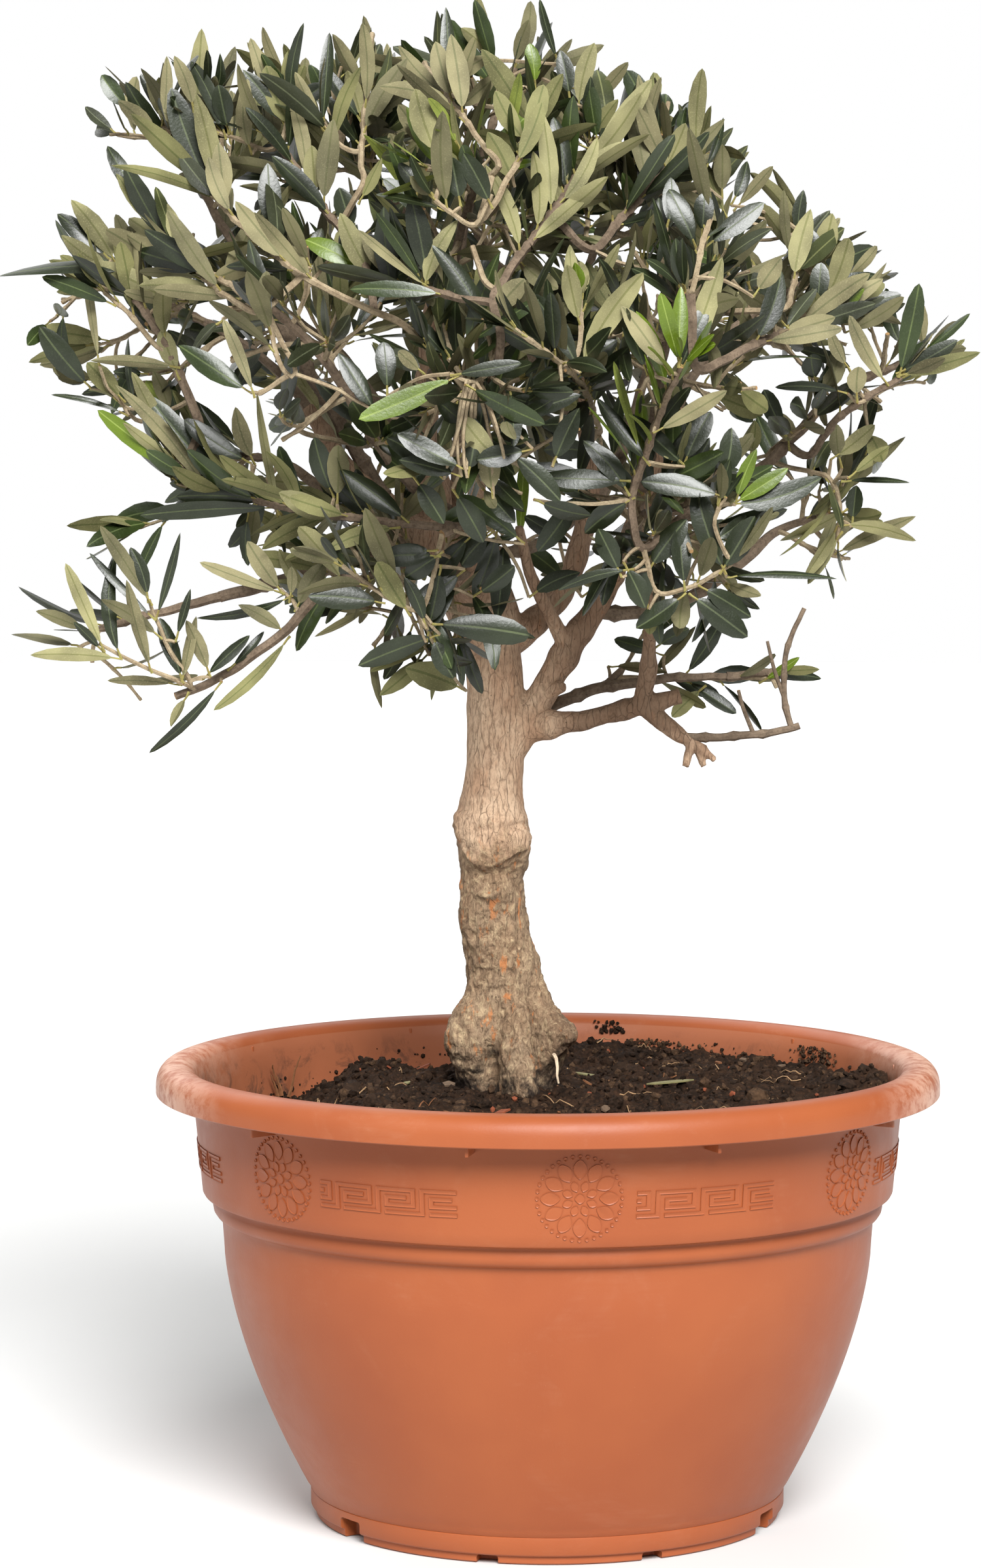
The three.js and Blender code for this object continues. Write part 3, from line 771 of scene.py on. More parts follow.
class Pile:
    """Vertices and faces gathered for one joined mesh."""

    def __init__(self) -> None:
        """Starts empty."""
        self.vertices: list[np.ndarray] = []
        self.faces: list[tuple[int, ...]] = []
        self.slots: list[int] = []
        self.count = 0

    def add(self, vertices: np.ndarray, faces: Sequence[Sequence[int]],
            slots: Sequence[int] | int = 0) -> None:
        """Adds one shape.

        Args:
            vertices: Its points, one a row.
            faces: Its faces, by the rows of the points.
            slots: The material slot of all its faces, or of each.
        """
        start = self.count
        self.vertices.append(vertices)
        self.faces.extend(tuple(start + i for i in face) for face in faces)
        self.slots.extend([slots] * len(faces) if isinstance(slots, int) else slots)
        self.count += len(vertices)

    def add_tube(self, points: np.ndarray, radii: np.ndarray, sides: int, slot: int = 0,
                 end_slot: int = 0) -> None:
        """Adds a closed round limb along some points.

        Args:
            points: The points of its axis.
            radii: Its radius at each.
            sides: Corners in its section.
            slot: The material slot of its skin.
            end_slot: The material slot of its far end.
        """
        tangents = unit(np.gradient(points, axis=0))
        normal = sideways(tangents[0], 0.0)
        angles = np.linspace(0, 2 * np.pi, sides, endpoint=False)
        rings = []
        for point, tangent, radius in zip(points, tangents, radii):
            normal = unit(normal - tangent * np.dot(normal, tangent))
            across = np.cross(tangent, normal)
            ring = np.outer(np.cos(angles), normal) + np.outer(np.sin(angles), across)
            rings.append(point + radius * ring)
        faces = ring_faces(len(points), sides)
        self.add(np.concatenate(rings), faces, [slot] * (len(faces) - 1) + [end_slot])

    def piece(self, name: str, materials: Sequence[bpy.types.Material],
              angle: float = 40.0) -> bpy.types.Object:
        """Makes the mesh object.

        Args:
            name: The piece's name.
            materials: Its material slots in order.
            angle: Edges sharper than this many degrees stay sharp.

        Returns:
            The object, at the origin.
        """
        mesh = bpy.data.meshes.new(name)
        mesh.from_pydata(np.concatenate(self.vertices) * MM, [], self.faces)
        for material in materials:
            mesh.materials.append(material)
        mesh.polygons.foreach_set("material_index", self.slots)
        made = bpy.data.objects.new(name, mesh)
        bpy.context.scene.collection.objects.link(made)
        smooth_by_angle(made, angle)
        return made


def choose(piece: bpy.types.Object) -> None:
    """Makes one object the only one selected, and the active one."""
    bpy.ops.object.select_all(action="DESELECT")
    piece.select_set(True)
    bpy.context.view_layer.objects.active = piece


def smooth_by_angle(piece: bpy.types.Object, degrees: float) -> None:
    """Shades a piece smooth, but for edges sharper than an angle."""
    choose(piece)
    bpy.ops.object.shade_smooth_by_angle(angle=math.radians(degrees))


def added(kind: str, **settings: float | str | Place) -> bpy.types.Object:
    """Adds a primitive with nothing else selected.

    Args:
        kind: Its kind, such as cube or circle.
        settings: What the operator is told.

    Returns:
        The new object.
    """
    bpy.ops.object.select_all(action="DESELECT")
    getattr(bpy.ops.mesh, f"primitive_{kind}_add")(**settings)
    return bpy.context.object


def named(name: str) -> bpy.types.Object:
    """Names the active object and its mesh.

    Args:
        name: The name for both.

    Returns:
        The active object.
    """
    made = bpy.context.object
    made.name = name
    made.data.name = name
    return made


def joined(pieces: list[bpy.types.Object], name: str) -> bpy.types.Object:
    """Joins objects and puts their places into one mesh.

    Args:
        pieces: The objects; the first takes in the others.
        name: The name of what they become.

    Returns:
        The joined object, at the origin.
    """
    choose(pieces[0])
    for piece in pieces[1:]:
        piece.select_set(True)
    if len(pieces) > 1:
        bpy.ops.object.join()
    bpy.ops.object.transform_apply(location=True, rotation=True, scale=True)
    return named(name)


def apply_modifier(piece: bpy.types.Object, kind: str, **settings: float | str | bpy.types.Object) -> None:
    """Adds a modifier to a piece and applies it.

    Args:
        piece: The piece.
        kind: The modifier's type.
        settings: What it is set to.
    """
    choose(piece)
    modifier = piece.modifiers.new(kind.lower(), kind)
    for name, value in settings.items():
        setattr(modifier, name, value)
    bpy.ops.object.modifier_apply(modifier=modifier.name)


def lathe(name: str, outline: Sequence[tuple[float, float]], steps: int) -> bpy.types.Object:
    """Turns an outline about the upright axis.

    Args:
        name: The piece's name.
        outline: Its corners as (radius, height), from the axis below round to the axis above.
        steps: Steps in the full turn.

    Returns:
        The closed piece, with its faces pointing out.
    """
    added("plane", size=MM)
    piece = named(name)
    bpy.ops.object.mode_set(mode="EDIT")
    bpy.ops.mesh.select_all(action="SELECT")
    bpy.ops.mesh.merge(type="CENTER")
    bpy.ops.transform.translate(value=(outline[0][0] * MM, 0, outline[0][1] * MM))
    for (r0, z0), (r1, z1) in zip(outline, outline[1:]):
        move = ((r1 - r0) * MM, 0, (z1 - z0) * MM)
        bpy.ops.mesh.extrude_region_move(TRANSFORM_OT_translate={"value": move})
    bpy.ops.mesh.select_all(action="SELECT")
    bpy.ops.mesh.spin(steps=steps, angle=2 * math.pi, center=(0, 0, 0), axis=(0, 0, 1))
    bpy.ops.mesh.select_all(action="SELECT")
    bpy.ops.mesh.remove_doubles(threshold=0.01 * MM)
    bpy.ops.mesh.normals_make_consistent(inside=False)
    bpy.ops.object.mode_set(mode="OBJECT")
    return piece


def outward(azimuth: float) -> tuple[float, float]:
    """The level direction at an azimuth in degrees, measured from the front towards +X."""
    return math.sin(math.radians(azimuth)), -math.cos(math.radians(azimuth))


HERE = (0.0, 0.0)


@dataclass(frozen=True)
class BowlSizes:
    """The bowl's sizes."""

    turn_steps: int = 288
    wall: float = 3.0
    floor: float = 8.0
    foot_radius: float = 119.0
    foot_height: float = 4.0
    ring_radius: float = 121.7
    ring_top: float = 14.0
    body_bottom: float = 19.0
    body_bottom_radius: float = 124.4
    body_top: float = 141.0
    body_top_radius: float = 165.6
    body_curve: float = 1.6
    body_steps: int = 22
    bead_middle: float = 160.5
    bead_radius: float = 171.2
    band_bottom: float = 167.6
    band_bottom_radius: float = 176.4
    band_top: float = 214.0
    band_top_radius: float = 180.8
    rim_radius: float = 200.0
    rim_ridge_radius: float = 189.5
    rim_inner_radius: float = 181.8
    rim_height: float = 233.0
    rim_lip: float = 217.6
    dome_base: float = 4.0
    lip_wall: float = 2.2
    inner_radius: float = 180.3
    notches: int = 9
    notch_width: float = 11.0
    notch_turn: float = 25.0
    notch_depth: float = 8.0
    deep_notch_width: float = 17.0
    deep_notch_height: float = 10.5
    tabs: int = 10
    tab_turn: float = 24.0
    tab_thickness: float = 1.8
    tab_bottom: float = 212.6


class Bowl:
    """The plastic bowl: its turned body, notched foot, tabs under the rim and relief on its band."""

    # One step of the key pattern, where # is raised
    KEY_UNIT = (
        "#########.",
        "#.......#.",
        "#.#####.#.",
        "#.#.....#.",
        "#.#######.",
        "#.........",
        "#.########",
    )
    KEY_COLUMNS = 32
    KEY_START = 6
    KEY_LENGTH = 74.0
    KEY_HEIGHT = 13.0
    KEY_BOTTOM = 180.8
    KEY_MIDDLE_TURN = 20.7
    KEY_EDGE = (0.5, 0.3)
    RELIEF = 0.55
    SUNK = 0.8
    FLOWERS = 7
    FLOWER_TURN = 4.2
    FLOWER_HEIGHT = 191.0
    FLOWER_EDGE = (0.45, 0.28)
    # Rings of petals: how many, their length and width, how far out their middles lie, their turn in petals
    PETALS = (
        (12, 9.5, 6.6, 14.0, 0.0),
        (8, 5.2, 3.9, 6.2, 0.5),
        (36, 1.9, 1.9, 20.3, 0.0),
        (1, 5.0, 5.0, 0.0, 0.0),
    )
    # How much narrower a petal is at its inner and at its outer end
    PETAL_TIPS = (0.55, 0.25)
    TAB_EDGE = 0.4
    NOTCH_EDGE = 1.6
    CUTTER_LENGTH = 40.0

    def __init__(self, sizes: BowlSizes) -> None:
        """Keeps the sizes and makes the finishes."""
        self.sizes = sizes
        self.plastic = PlasticFinish().build("terracotta_plastic")
        self.inside = PlasticFinish(soiled_and_painted_shading=True).build("terracotta_plastic_inside")

    def body_radius(self, z: float) -> float:
        """The radius of the curved body at a height."""
        s = self.sizes
        below = max(0.0, 1 - (z - s.body_bottom) / (s.body_top - s.body_bottom))
        return s.body_top_radius - (s.body_top_radius - s.body_bottom_radius) * below**s.body_curve

    def band_radius(self, z: float) -> float:
        """The radius of the band's face at a height."""
        s = self.sizes
        share = (z - s.band_bottom) / (s.band_top - s.band_bottom)
        return mix(s.band_bottom_radius, s.band_top_radius, share)

    def outline(self) -> list[Range]:
        """Lists the corners of the whole wall, outside from the foot up, over the rim and down inside.

        Returns:
            The corners as (radius, height). Each moulding gives its own as offsets from where it stands.
        """
        s = self.sizes
        step, bead, lip = s.body_top_radius, s.bead_radius, s.rim_radius - s.lip_wall
        body_heights = np.linspace(s.body_bottom, s.body_top, s.body_steps + 1)
        band_heights = np.linspace(s.band_bottom + 0.6, s.band_top, 10)
        inner_band_heights = (222.0, 216.0, 208.0, 198.0, 186.0, 174.0, 170.6)
        inner_body_heights = (141.0, 120.0, 100.0, 80.0, 60.0, 40.0, 24.0)
        ledge = ((0.6, 149.0), (0.9, 153.6), (1.5, 155.2))
        rounding = ((-1.6, -4.2), (-0.4, -2.4), (0.0, -0.4), (-0.1, 2.0), (-0.6, 3.6), (-0.4, 4.9))
        outside = (
            (s.foot_radius, 0.0, ((-0.6, 0.0), (0.0, 0.6))),
            (s.foot_radius, s.foot_height, ((0.2, 0.0),)),
            (s.ring_radius, s.foot_height, ((-0.9, 0.4), (-0.1, 1.4))),
            (s.ring_radius, s.ring_top, ((0.0, -0.5), (-0.35, -0.2), (0.1, 0.2), (0.9, 2.4))),
            *((self.body_radius(z), z, (HERE,)) for z in body_heights),
            (step, 0.0, ledge),
            (bead, s.bead_middle, rounding),
            (s.band_bottom_radius, s.band_bottom, ((-2.2, -1.2), (-0.6, -0.6))),
            *((self.band_radius(z), z, (HERE,)) for z in band_heights),
        )
        rim = (
            (s.band_top_radius, s.band_top, ((1.6, 6.0),)),
            (s.band_top_radius, s.rim_height, ((5.0, -6.5),)),
            (s.rim_ridge_radius, s.rim_height, ((0.0, -4.2),)),
            (s.rim_radius, s.rim_lip, ((-5.4, 12.4), (-3.0, 7.0))),
            (lip, s.rim_lip, ((0.0, 0.5), (0.5, 0.0))),
            (s.rim_radius, s.rim_lip, ((-0.5, 0.0), (0.0, 0.5), (0.05, 3.0))),
            *((x, z, (HERE,)) for x, z in self._rim_dome()),
            (s.rim_ridge_radius, s.rim_height, ((-2.6, -0.1), (-4.8, -0.8))),
            (s.rim_inner_radius, s.rim_height, ((0.0, -2.4), (-1.6, -4.6))),
        )
        inside = (
            *((self.band_radius(z) - s.wall, z, (HERE,)) for z in inner_band_heights),
            (bead - s.wall, s.bead_middle, (HERE,)),
            (step - s.wall, 0.0, ((0.6, 152.0),)),
            *((self.body_radius(z) - s.wall, z, (HERE,)) for z in inner_body_heights),
            (self.body_radius(s.body_bottom) - s.wall, s.floor, ((-4.0, 0.0),)),
        )
        corners = [(x + out, z + up) for x, z, offsets in outside + rim + inside for out, up in offsets]
        return [(0.0, 0.0), *corners, (0.0, s.floor)]

    def _rim_dome(self) -> list[Range]:
        """Draws the rim's domed top.

        Returns:
            Its corners, from its outer edge in to its ridge.
        """
        s = self.sizes
        width, base = s.rim_radius - s.rim_ridge_radius, s.rim_lip + s.dome_base
        height = s.rim_height - s.rim_lip - s.dome_base
        corners = []
        for turn in np.radians(np.linspace(4, 90, 13)):
            radius = s.rim_ridge_radius + width * math.cos(turn) ** 0.82
            corners.append((radius, base + height * math.sin(turn) ** 0.9))
        return corners

    def build(self) -> list[bpy.types.Object]:
        """Builds the bowl.

        Returns:
            Its pieces, dressed.
        """
        wall = lathe("bowl_wall", self.outline(), self.sizes.turn_steps)
        self._cut_notches(wall)
        self._dress_wall(wall)
        smooth_by_angle(wall, 38)
        tabs = self._tabs()
        keys = self._key_strips()
        flowers = self._flowers()
        for piece in (tabs, keys, flowers):
            piece.data.materials.append(self.plastic)
        for piece in (wall, tabs, keys, flowers):
            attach(piece, BODY)
        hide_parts("pot")
        return [wall, tabs, keys, flowers]

    def _dress_wall(self, wall: bpy.types.Object) -> None:
        """Gives the wall its plastic; the faces that look inwards get the inside finish, with soil smears and
        a painted lighter tone.

        Args:
            wall: The bowl's wall.
        """
        wall.data.materials.append(self.plastic)
        wall.data.materials.append(self.inside)
        s = self.sizes
        for face in wall.data.polygons:
            level = Vector((face.center.x, face.center.y, 0))
            inner = level.length < s.inner_radius * MM and face.normal.dot(level) < 0
            if inner and face.center.z > s.floor * MM:
                face.material_index = 1

    @staticmethod
    def _plate(azimuth: float, radius: float, z: float, size: Place) -> bpy.types.Object:
        """Adds a block that points outwards.

        Args:
            azimuth: The side that it stands on.
            radius: How far out its middle lies.
            z: The height of its middle.
            size: Its size outwards, across and up.

        Returns:
            The block, with its place not yet in its mesh.
        """
        x, y = outward(azimuth)
        block = added("cube", size=1, location=(x * radius * MM, y * radius * MM, z * MM))
        block.scale = [side * MM for side in size]
        block.rotation_euler.z = math.radians(azimuth - 90)
        return block

    def _cutter(self, azimuth: float, width: float, height: float) -> bpy.types.Object:
        """Makes a block that cuts one notch into the foot from below.

        Args:
            azimuth: The notch's side.
            width: Its width.
            height: Its height.

        Returns:
            The block.
        """
        middle = self.sizes.foot_radius - self.sizes.notch_depth + self.CUTTER_LENGTH / 2
        block = self._plate(azimuth, middle, 0.0, (self.CUTTER_LENGTH, width, 2 * height))
        bpy.ops.object.transform_apply(location=True, rotation=True, scale=True)
        bpy.ops.object.mode_set(mode="EDIT")
        bpy.ops.mesh.select_all(action="SELECT")
        bpy.ops.mesh.bevel(offset=self.NOTCH_EDGE * MM, segments=3, affect="EDGES")
        bpy.ops.object.mode_set(mode="OBJECT")
        return block

    def _cut_notches(self, wall: bpy.types.Object) -> None:
        """Cuts the nine notches, every third one deep enough to reach into the ring above the feet.

        Args:
            wall: The bowl's wall.
        """
        s = self.sizes
        blocks = []
        for i in range(s.notches):
            azimuth = s.notch_turn + 360 * i / s.notches
            blocks.append(self._cutter(azimuth, s.notch_width, s.foot_height))
            if i % 3 == 1:
                blocks.append(self._cutter(azimuth, s.deep_notch_width, s.deep_notch_height))
        cutter = joined(blocks, "notch_blocks")
        apply_modifier(wall, "BOOLEAN", operation="DIFFERENCE", object=cutter, solver="EXACT", use_self=True)
        bpy.data.objects.remove(cutter)

    def _tabs(self) -> bpy.types.Object:
        """Builds the small upright plates between the band and the rim's underside.

        Returns:
            The plates as one object.
        """
        s = self.sizes
        inner, outer, top = s.band_top_radius - 1.5, s.rim_radius - 5.0, s.rim_lip + 10
        size = (outer - inner, s.tab_thickness, top - s.tab_bottom)
        turns = [s.tab_turn + 360 * i / s.tabs for i in range(s.tabs)]
        plates = [self._plate(turn, (inner + outer) / 2, (s.tab_bottom + top) / 2, size) for turn in turns]
        made = joined(plates, "rim_tabs")
        apply_modifier(made, "BEVEL", width=self.TAB_EDGE * MM, segments=2)
        smooth_by_angle(made, 40)
        return made

    def _wrap(self, piece: bpy.types.Object, azimuth: float) -> None:
        """Bends a flat piece onto the band.

        Args:
            piece: The piece, whose relief stands towards -Y.
            azimuth: The side of the band that it goes to.
        """
        for vertex in piece.data.vertices:
            x, y, z = (c / MM for c in vertex.co)
            radius = self.band_radius(z)
            sx, sy = outward(azimuth + math.degrees(x / radius))
            vertex.co = (sx * (radius - y) * MM, sy * (radius - y) * MM, z * MM)

    def _raise(self, piece: bpy.types.Object, edge: float, dip: float) -> None:
        """Gives a flat pattern its thickness and a thin raised edge.

        Args:
            piece: A flat pattern in the XZ plane.
            edge: Width of the raised edge.
            dip: How far the middle lies below the edge.
        """
        thickness = self.RELIEF + self.SUNK
        apply_modifier(piece, "SOLIDIFY", thickness=thickness * MM, offset=0)
        for vertex in piece.data.vertices:
            vertex.co.y += (self.SUNK - self.RELIEF) / 2 * MM
        choose(piece)
        for face in piece.data.polygons:
            face.select = face.normal.y < -0.9
        bpy.ops.object.mode_set(mode="EDIT")
        bpy.ops.mesh.select_mode(type="FACE")
        bpy.ops.object.mode_set(mode="OBJECT")
        for face in piece.data.polygons:
            face.select = face.normal.y < -0.9
        bpy.ops.object.mode_set(mode="EDIT")
        bpy.ops.mesh.inset(thickness=edge * MM, depth=-dip * MM, use_even_offset=True)
        bpy.ops.object.mode_set(mode="OBJECT")

    def _key_strip(self) -> bpy.types.Object:
        """Builds one flat strip of the key pattern: a grid without the faces between the strokes.

        Returns:
            The strip, flat and upright.
        """
        rows, columns = len(self.KEY_UNIT), self.KEY_COLUMNS
        strip = added("grid", x_subdivisions=columns, y_subdivisions=rows, size=1)
        bpy.ops.object.mode_set(mode="EDIT")
        bpy.ops.mesh.select_mode(type="FACE")
        bpy.ops.mesh.select_all(action="DESELECT")
        bpy.ops.object.mode_set(mode="OBJECT")
        for face in strip.data.polygons:
            column = int((face.center.x + 0.5) * columns)
            row = int((0.5 - face.center.y) * rows)
            unit_column = (column + self.KEY_START) % len(self.KEY_UNIT[0])
            face.select = self.KEY_UNIT[row][unit_column] != "#"
        bpy.ops.object.mode_set(mode="EDIT")
        bpy.ops.mesh.delete(type="FACE")
        bpy.ops.object.mode_set(mode="OBJECT")
        strip.scale = (self.KEY_LENGTH * MM, self.KEY_HEIGHT * MM, 1)
        strip.rotation_euler.x = math.pi / 2
        strip.location.z = (self.KEY_BOTTOM + self.KEY_HEIGHT / 2) * MM
        return joined([strip], "key_strip")

    def _key_strips(self) -> bpy.types.Object:
        """The key strips between the flowers."""
        strip = self._key_strip()
        self._raise(strip, *self.KEY_EDGE)
        return self._repeated(strip, self.FLOWER_TURN + self.KEY_MIDDLE_TURN, "key_strips")

    def _repeated(self, first: bpy.types.Object, azimuth: float, name: str) -> bpy.types.Object:
        """Repeats a flat relief round the band.

        Args:
            first: The flat relief, which is used up.
            azimuth: The side of the first copy.
            name: The name of what the copies become.

        Returns:
            The copies, wrapped and joined.
        """
        copies = []
        for i in range(self.FLOWERS):
            copy = first.copy()
            copy.data = first.data.copy()
            bpy.context.scene.collection.objects.link(copy)
            self._wrap(copy, azimuth + 360 * i / self.FLOWERS)
            copies.append(copy)
        bpy.data.objects.remove(first)
        made = joined(copies, name)
        smooth_by_angle(made, 30)
        return made

    def _petal(self, length: float, width: float, middle: float, turn: float) -> bpy.types.Object:
        """Makes one flat petal, narrower towards its ends.

        Args:
            length: Its length.
            width: Its width.
            middle: How far its middle lies from the flower's centre.
            turn: Its direction in radians.

        Returns:
            The petal.
        """
        petal = added("circle", vertices=18, radius=0.5, fill_type="NGON")
        inner, outer = self.PETAL_TIPS
        for vertex in petal.data.vertices:
            x = 2 * vertex.co.x
            vertex.co.y *= 1 - inner * max(0.0, -x) ** 2 - outer * max(0.0, x) ** 2
        petal.scale = (length * MM, width * MM, 1)
        petal.location = (middle * MM * math.cos(turn), middle * MM * math.sin(turn), 0)
        petal.rotation_euler.z = turn
        return petal

    def _flower(self) -> bpy.types.Object:
        """Builds one flat flower with two rings of petals, a beaded edge and a round middle.

        Returns:
            The flower, flat and upright.
        """
        parts = []
        for count, length, width, middle, start in self.PETALS:
            turns = [2 * math.pi * (i + start) / count for i in range(count)]
            parts += [self._petal(length, width, middle, turn) for turn in turns]
        flower = joined(parts, "flower")
        flower.rotation_euler.x = math.pi / 2
        flower.location.z = self.FLOWER_HEIGHT * MM
        return joined([flower], "flower")

    def _flowers(self) -> bpy.types.Object:
        """The round flowers on the band."""
        flower = self._flower()
        self._raise(flower, *self.FLOWER_EDGE)
        return self._repeated(flower, self.FLOWER_TURN, "band_flowers")


@dataclass(frozen=True)
class SoilSizes:
    """The soil's sizes: its level, the mound at the trunk and where it has fallen away."""

    level: float = 217.0
    mound: float = 4.0
    mound_spread: float = 60.0
    low_left: float = 24.0
    low_from: float = -92.0
    low_to: float = -142.0
    edge_radius: float = 176.6
    depth: float = 30.0
    grid: int = 190
    crumbs: int = 3600
    clods: int = 200
    fibres: int = 30
    chips: int = 36
    stones: int = 22
    foot_room: float = 27.0
    skirt_share: float = 0.93


@dataclass(frozen=True)
class Heap:
    """A low heap on the soil, or a hollow where its height is negative."""

    at: tuple[float, float]
    height: float
    spread: float


HEAPS = (
    Heap((168, 28), 9, 16),
    Heap((28, 148), 6, 26),
    Heap((-92, 106), 6, 18),
    Heap((-70, 150), -14, 40),
    Heap((-140, 98), 7, 16),
    Heap((78, 52), 4, 22),
    Heap((112, 98), -4, 22),
    Heap((140, -20), -4, 18),
    Heap((104, -62), 4, 22),
    Heap((70, -132), 3, 22),
    Heap((34, -74), -4, 22),
    Heap((-18, -122), 4, 24),
    Heap((-66, -34), 4, 20),
    Heap((-52, 62), 3, 18),
    Heap((18, 84), -3, 18),
)


Template = tuple[np.ndarray, list[tuple[int, ...]]]


class Soil:
    """The soil in the bowl, with its crumbs, clods, root fibres, chips and fallen leaves."""

    FOOT = (-19.0, 0.0)
    FIBRE_STEPS = 9
    BIT_FINISHES = (
        ("root_pale", PlainFinish(srgb(152, 120, 86), 0.75)),
        ("root_brown", PlainFinish(srgb(112, 72, 44), 0.85)),
        ("chip_grey", PlainFinish(srgb(92, 74, 58), 0.85)),
        ("bit_red", PlainFinish(srgb(120, 62, 38), 0.8)),
        ("root_white", PlainFinish(srgb(196, 176, 150), 0.7)),
        ("fallen_leaf", PlainFinish(srgb(112, 106, 68), 0.7)),
    )
    PALE_ROOT, BROWN_ROOT, GREY_CHIP, RED_BIT, WHITE_ROOT, LEAF = range(len(BIT_FINISHES))

    def __init__(self, sizes: SoilSizes, bowl: Bowl) -> None:
        """Keeps the sizes and the bowl that holds the soil."""
        self.sizes = sizes
        self.bowl = bowl
        self.random = random.Random(11)

    def level(self, x: float, y: float) -> float:
        """Works out the soil's height without its clods.

        Args:
            x: The place along X.
            y: The place along Y.

        Returns:
            The height above the floor.
        """
        s = self.sizes
        near = bump(math.hypot(x - self.FOOT[0], y - self.FOOT[1]), s.mound_spread)
        fall = 1 - smooth(x, s.low_to, s.low_from)
        heaps = sum(h.height * bump(math.hypot(x - h.at[0], y - h.at[1]), h.spread) for h in HEAPS)
        return s.level + s.mound * near - s.low_left * fall + heaps

    def height(self, x: float, y: float) -> float:
        """Works out the soil's height, clods and all.

        Args:
            x: The place along X.
            y: The place along Y.

        Returns:
            The height above the floor.
        """
        spot = Vector((x, y, 0))
        coarse = noise.fractal(spot / 26, 0.9, 2.1, 3) * 1.8
        lumps = noise.turbulence(spot / 9, 4, False, amplitude_scale=0.6, frequency_scale=2.1) * 3.6
        return self.level(x, y) + coarse + lumps - 2.0

    def build(self) -> list[bpy.types.Object]:
        """Builds the soil.

        Returns:
            Its pieces, dressed.
        """
        ground = self._ground()
        crumbs = self._crumbs()
        bits = self._bits()
        pieces = [ground, crumbs, bits]
        for piece in pieces:
            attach(piece, BODY)
        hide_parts("soil")
        return pieces

    def _ground(self) -> bpy.types.Object:
        """Builds the body of soil: a grid drawn into a disc, raised in clods, with its edge drawn down.

        Returns:
            The closed body.
        """
        s = self.sizes
        added("grid", x_subdivisions=s.grid, y_subdivisions=s.grid, size=2)
        ground = named("soil_ground")
        for vertex in ground.data.vertices:
            a, b, _ = vertex.co
            x = a * math.sqrt(1 - b * b / 2) * s.edge_radius
            y = b * math.sqrt(1 - a * a / 2) * s.edge_radius
            vertex.co = (x * MM, y * MM, self.height(x, y) * MM)
        bpy.ops.object.mode_set(mode="EDIT")
        bpy.ops.mesh.select_mode(type="EDGE")
        bpy.ops.mesh.select_all(action="DESELECT")
        bpy.ops.mesh.select_non_manifold()
        bpy.ops.mesh.extrude_region_move(TRANSFORM_OT_translate={"value": (0, 0, -s.depth * MM)})
        bottom = (s.level - s.low_left - s.depth) * MM
        bpy.ops.transform.resize(value=(s.skirt_share, s.skirt_share, 0), center_override=(0, 0, bottom))
        bpy.ops.mesh.edge_face_add()
        bpy.ops.mesh.select_all(action="SELECT")
        bpy.ops.mesh.normals_make_consistent(inside=False)
        bpy.ops.object.mode_set(mode="OBJECT")
        ground.data.materials.append(SoilFinish().build("potting_soil"))
        smooth_by_angle(ground, 60)
        return ground

    def _spot(self, inside: float) -> tuple[float, float]:
        """Picks a place on the soil at random, clear of the trunk's foot.

        Args:
            inside: How far from the soil's edge it stays.

        Returns:
            Its place along X and Y.
        """
        while True:
            radius = (self.sizes.edge_radius - inside) * math.sqrt(self.random.random())
            turn = self.random.random() * 2 * math.pi
            x, y = radius * math.cos(turn), radius * math.sin(turn)
            if math.hypot(x - self.FOOT[0], y - self.FOOT[1]) > self.sizes.foot_room:
                return x, y

    def _lump(self, pile: Pile, template: Template, centre: np.ndarray, size: float, slot: int) -> None:
        """Adds one knobbly lump.

        Args:
            pile: The pile that takes it.
            template: A round lump to start from.
            centre: Where it lies.
            size: Its rough radius.
            slot: Its material slot.
        """
        points, faces = template
        shake = np.array([[self.random.uniform(0.72, 1.28)] for _ in points])
        squash = np.array([self.random.uniform(0.7, 1.2) for _ in range(3)])
        axis = unit(np.array([self.random.gauss(0, 1) for _ in range(3)]))
        angle = self.random.random() * math.pi
        shaped = np.array([turned(p, axis, angle) for p in points * shake * squash])
        pile.add(centre + shaped * size, faces, slot)

    @staticmethod
    def _template(subdivisions: int) -> Template:
        """Makes a round lump of radius 1.

        Args:
            subdivisions: How finely it is divided.

        Returns:
            Its points and faces.
        """
        ball = added("ico_sphere", subdivisions=subdivisions, radius=1)
        points = np.array([v.co for v in ball.data.vertices])
        faces = [tuple(f.vertices) for f in ball.data.polygons]
        bpy.data.objects.remove(ball)
        return points, faces

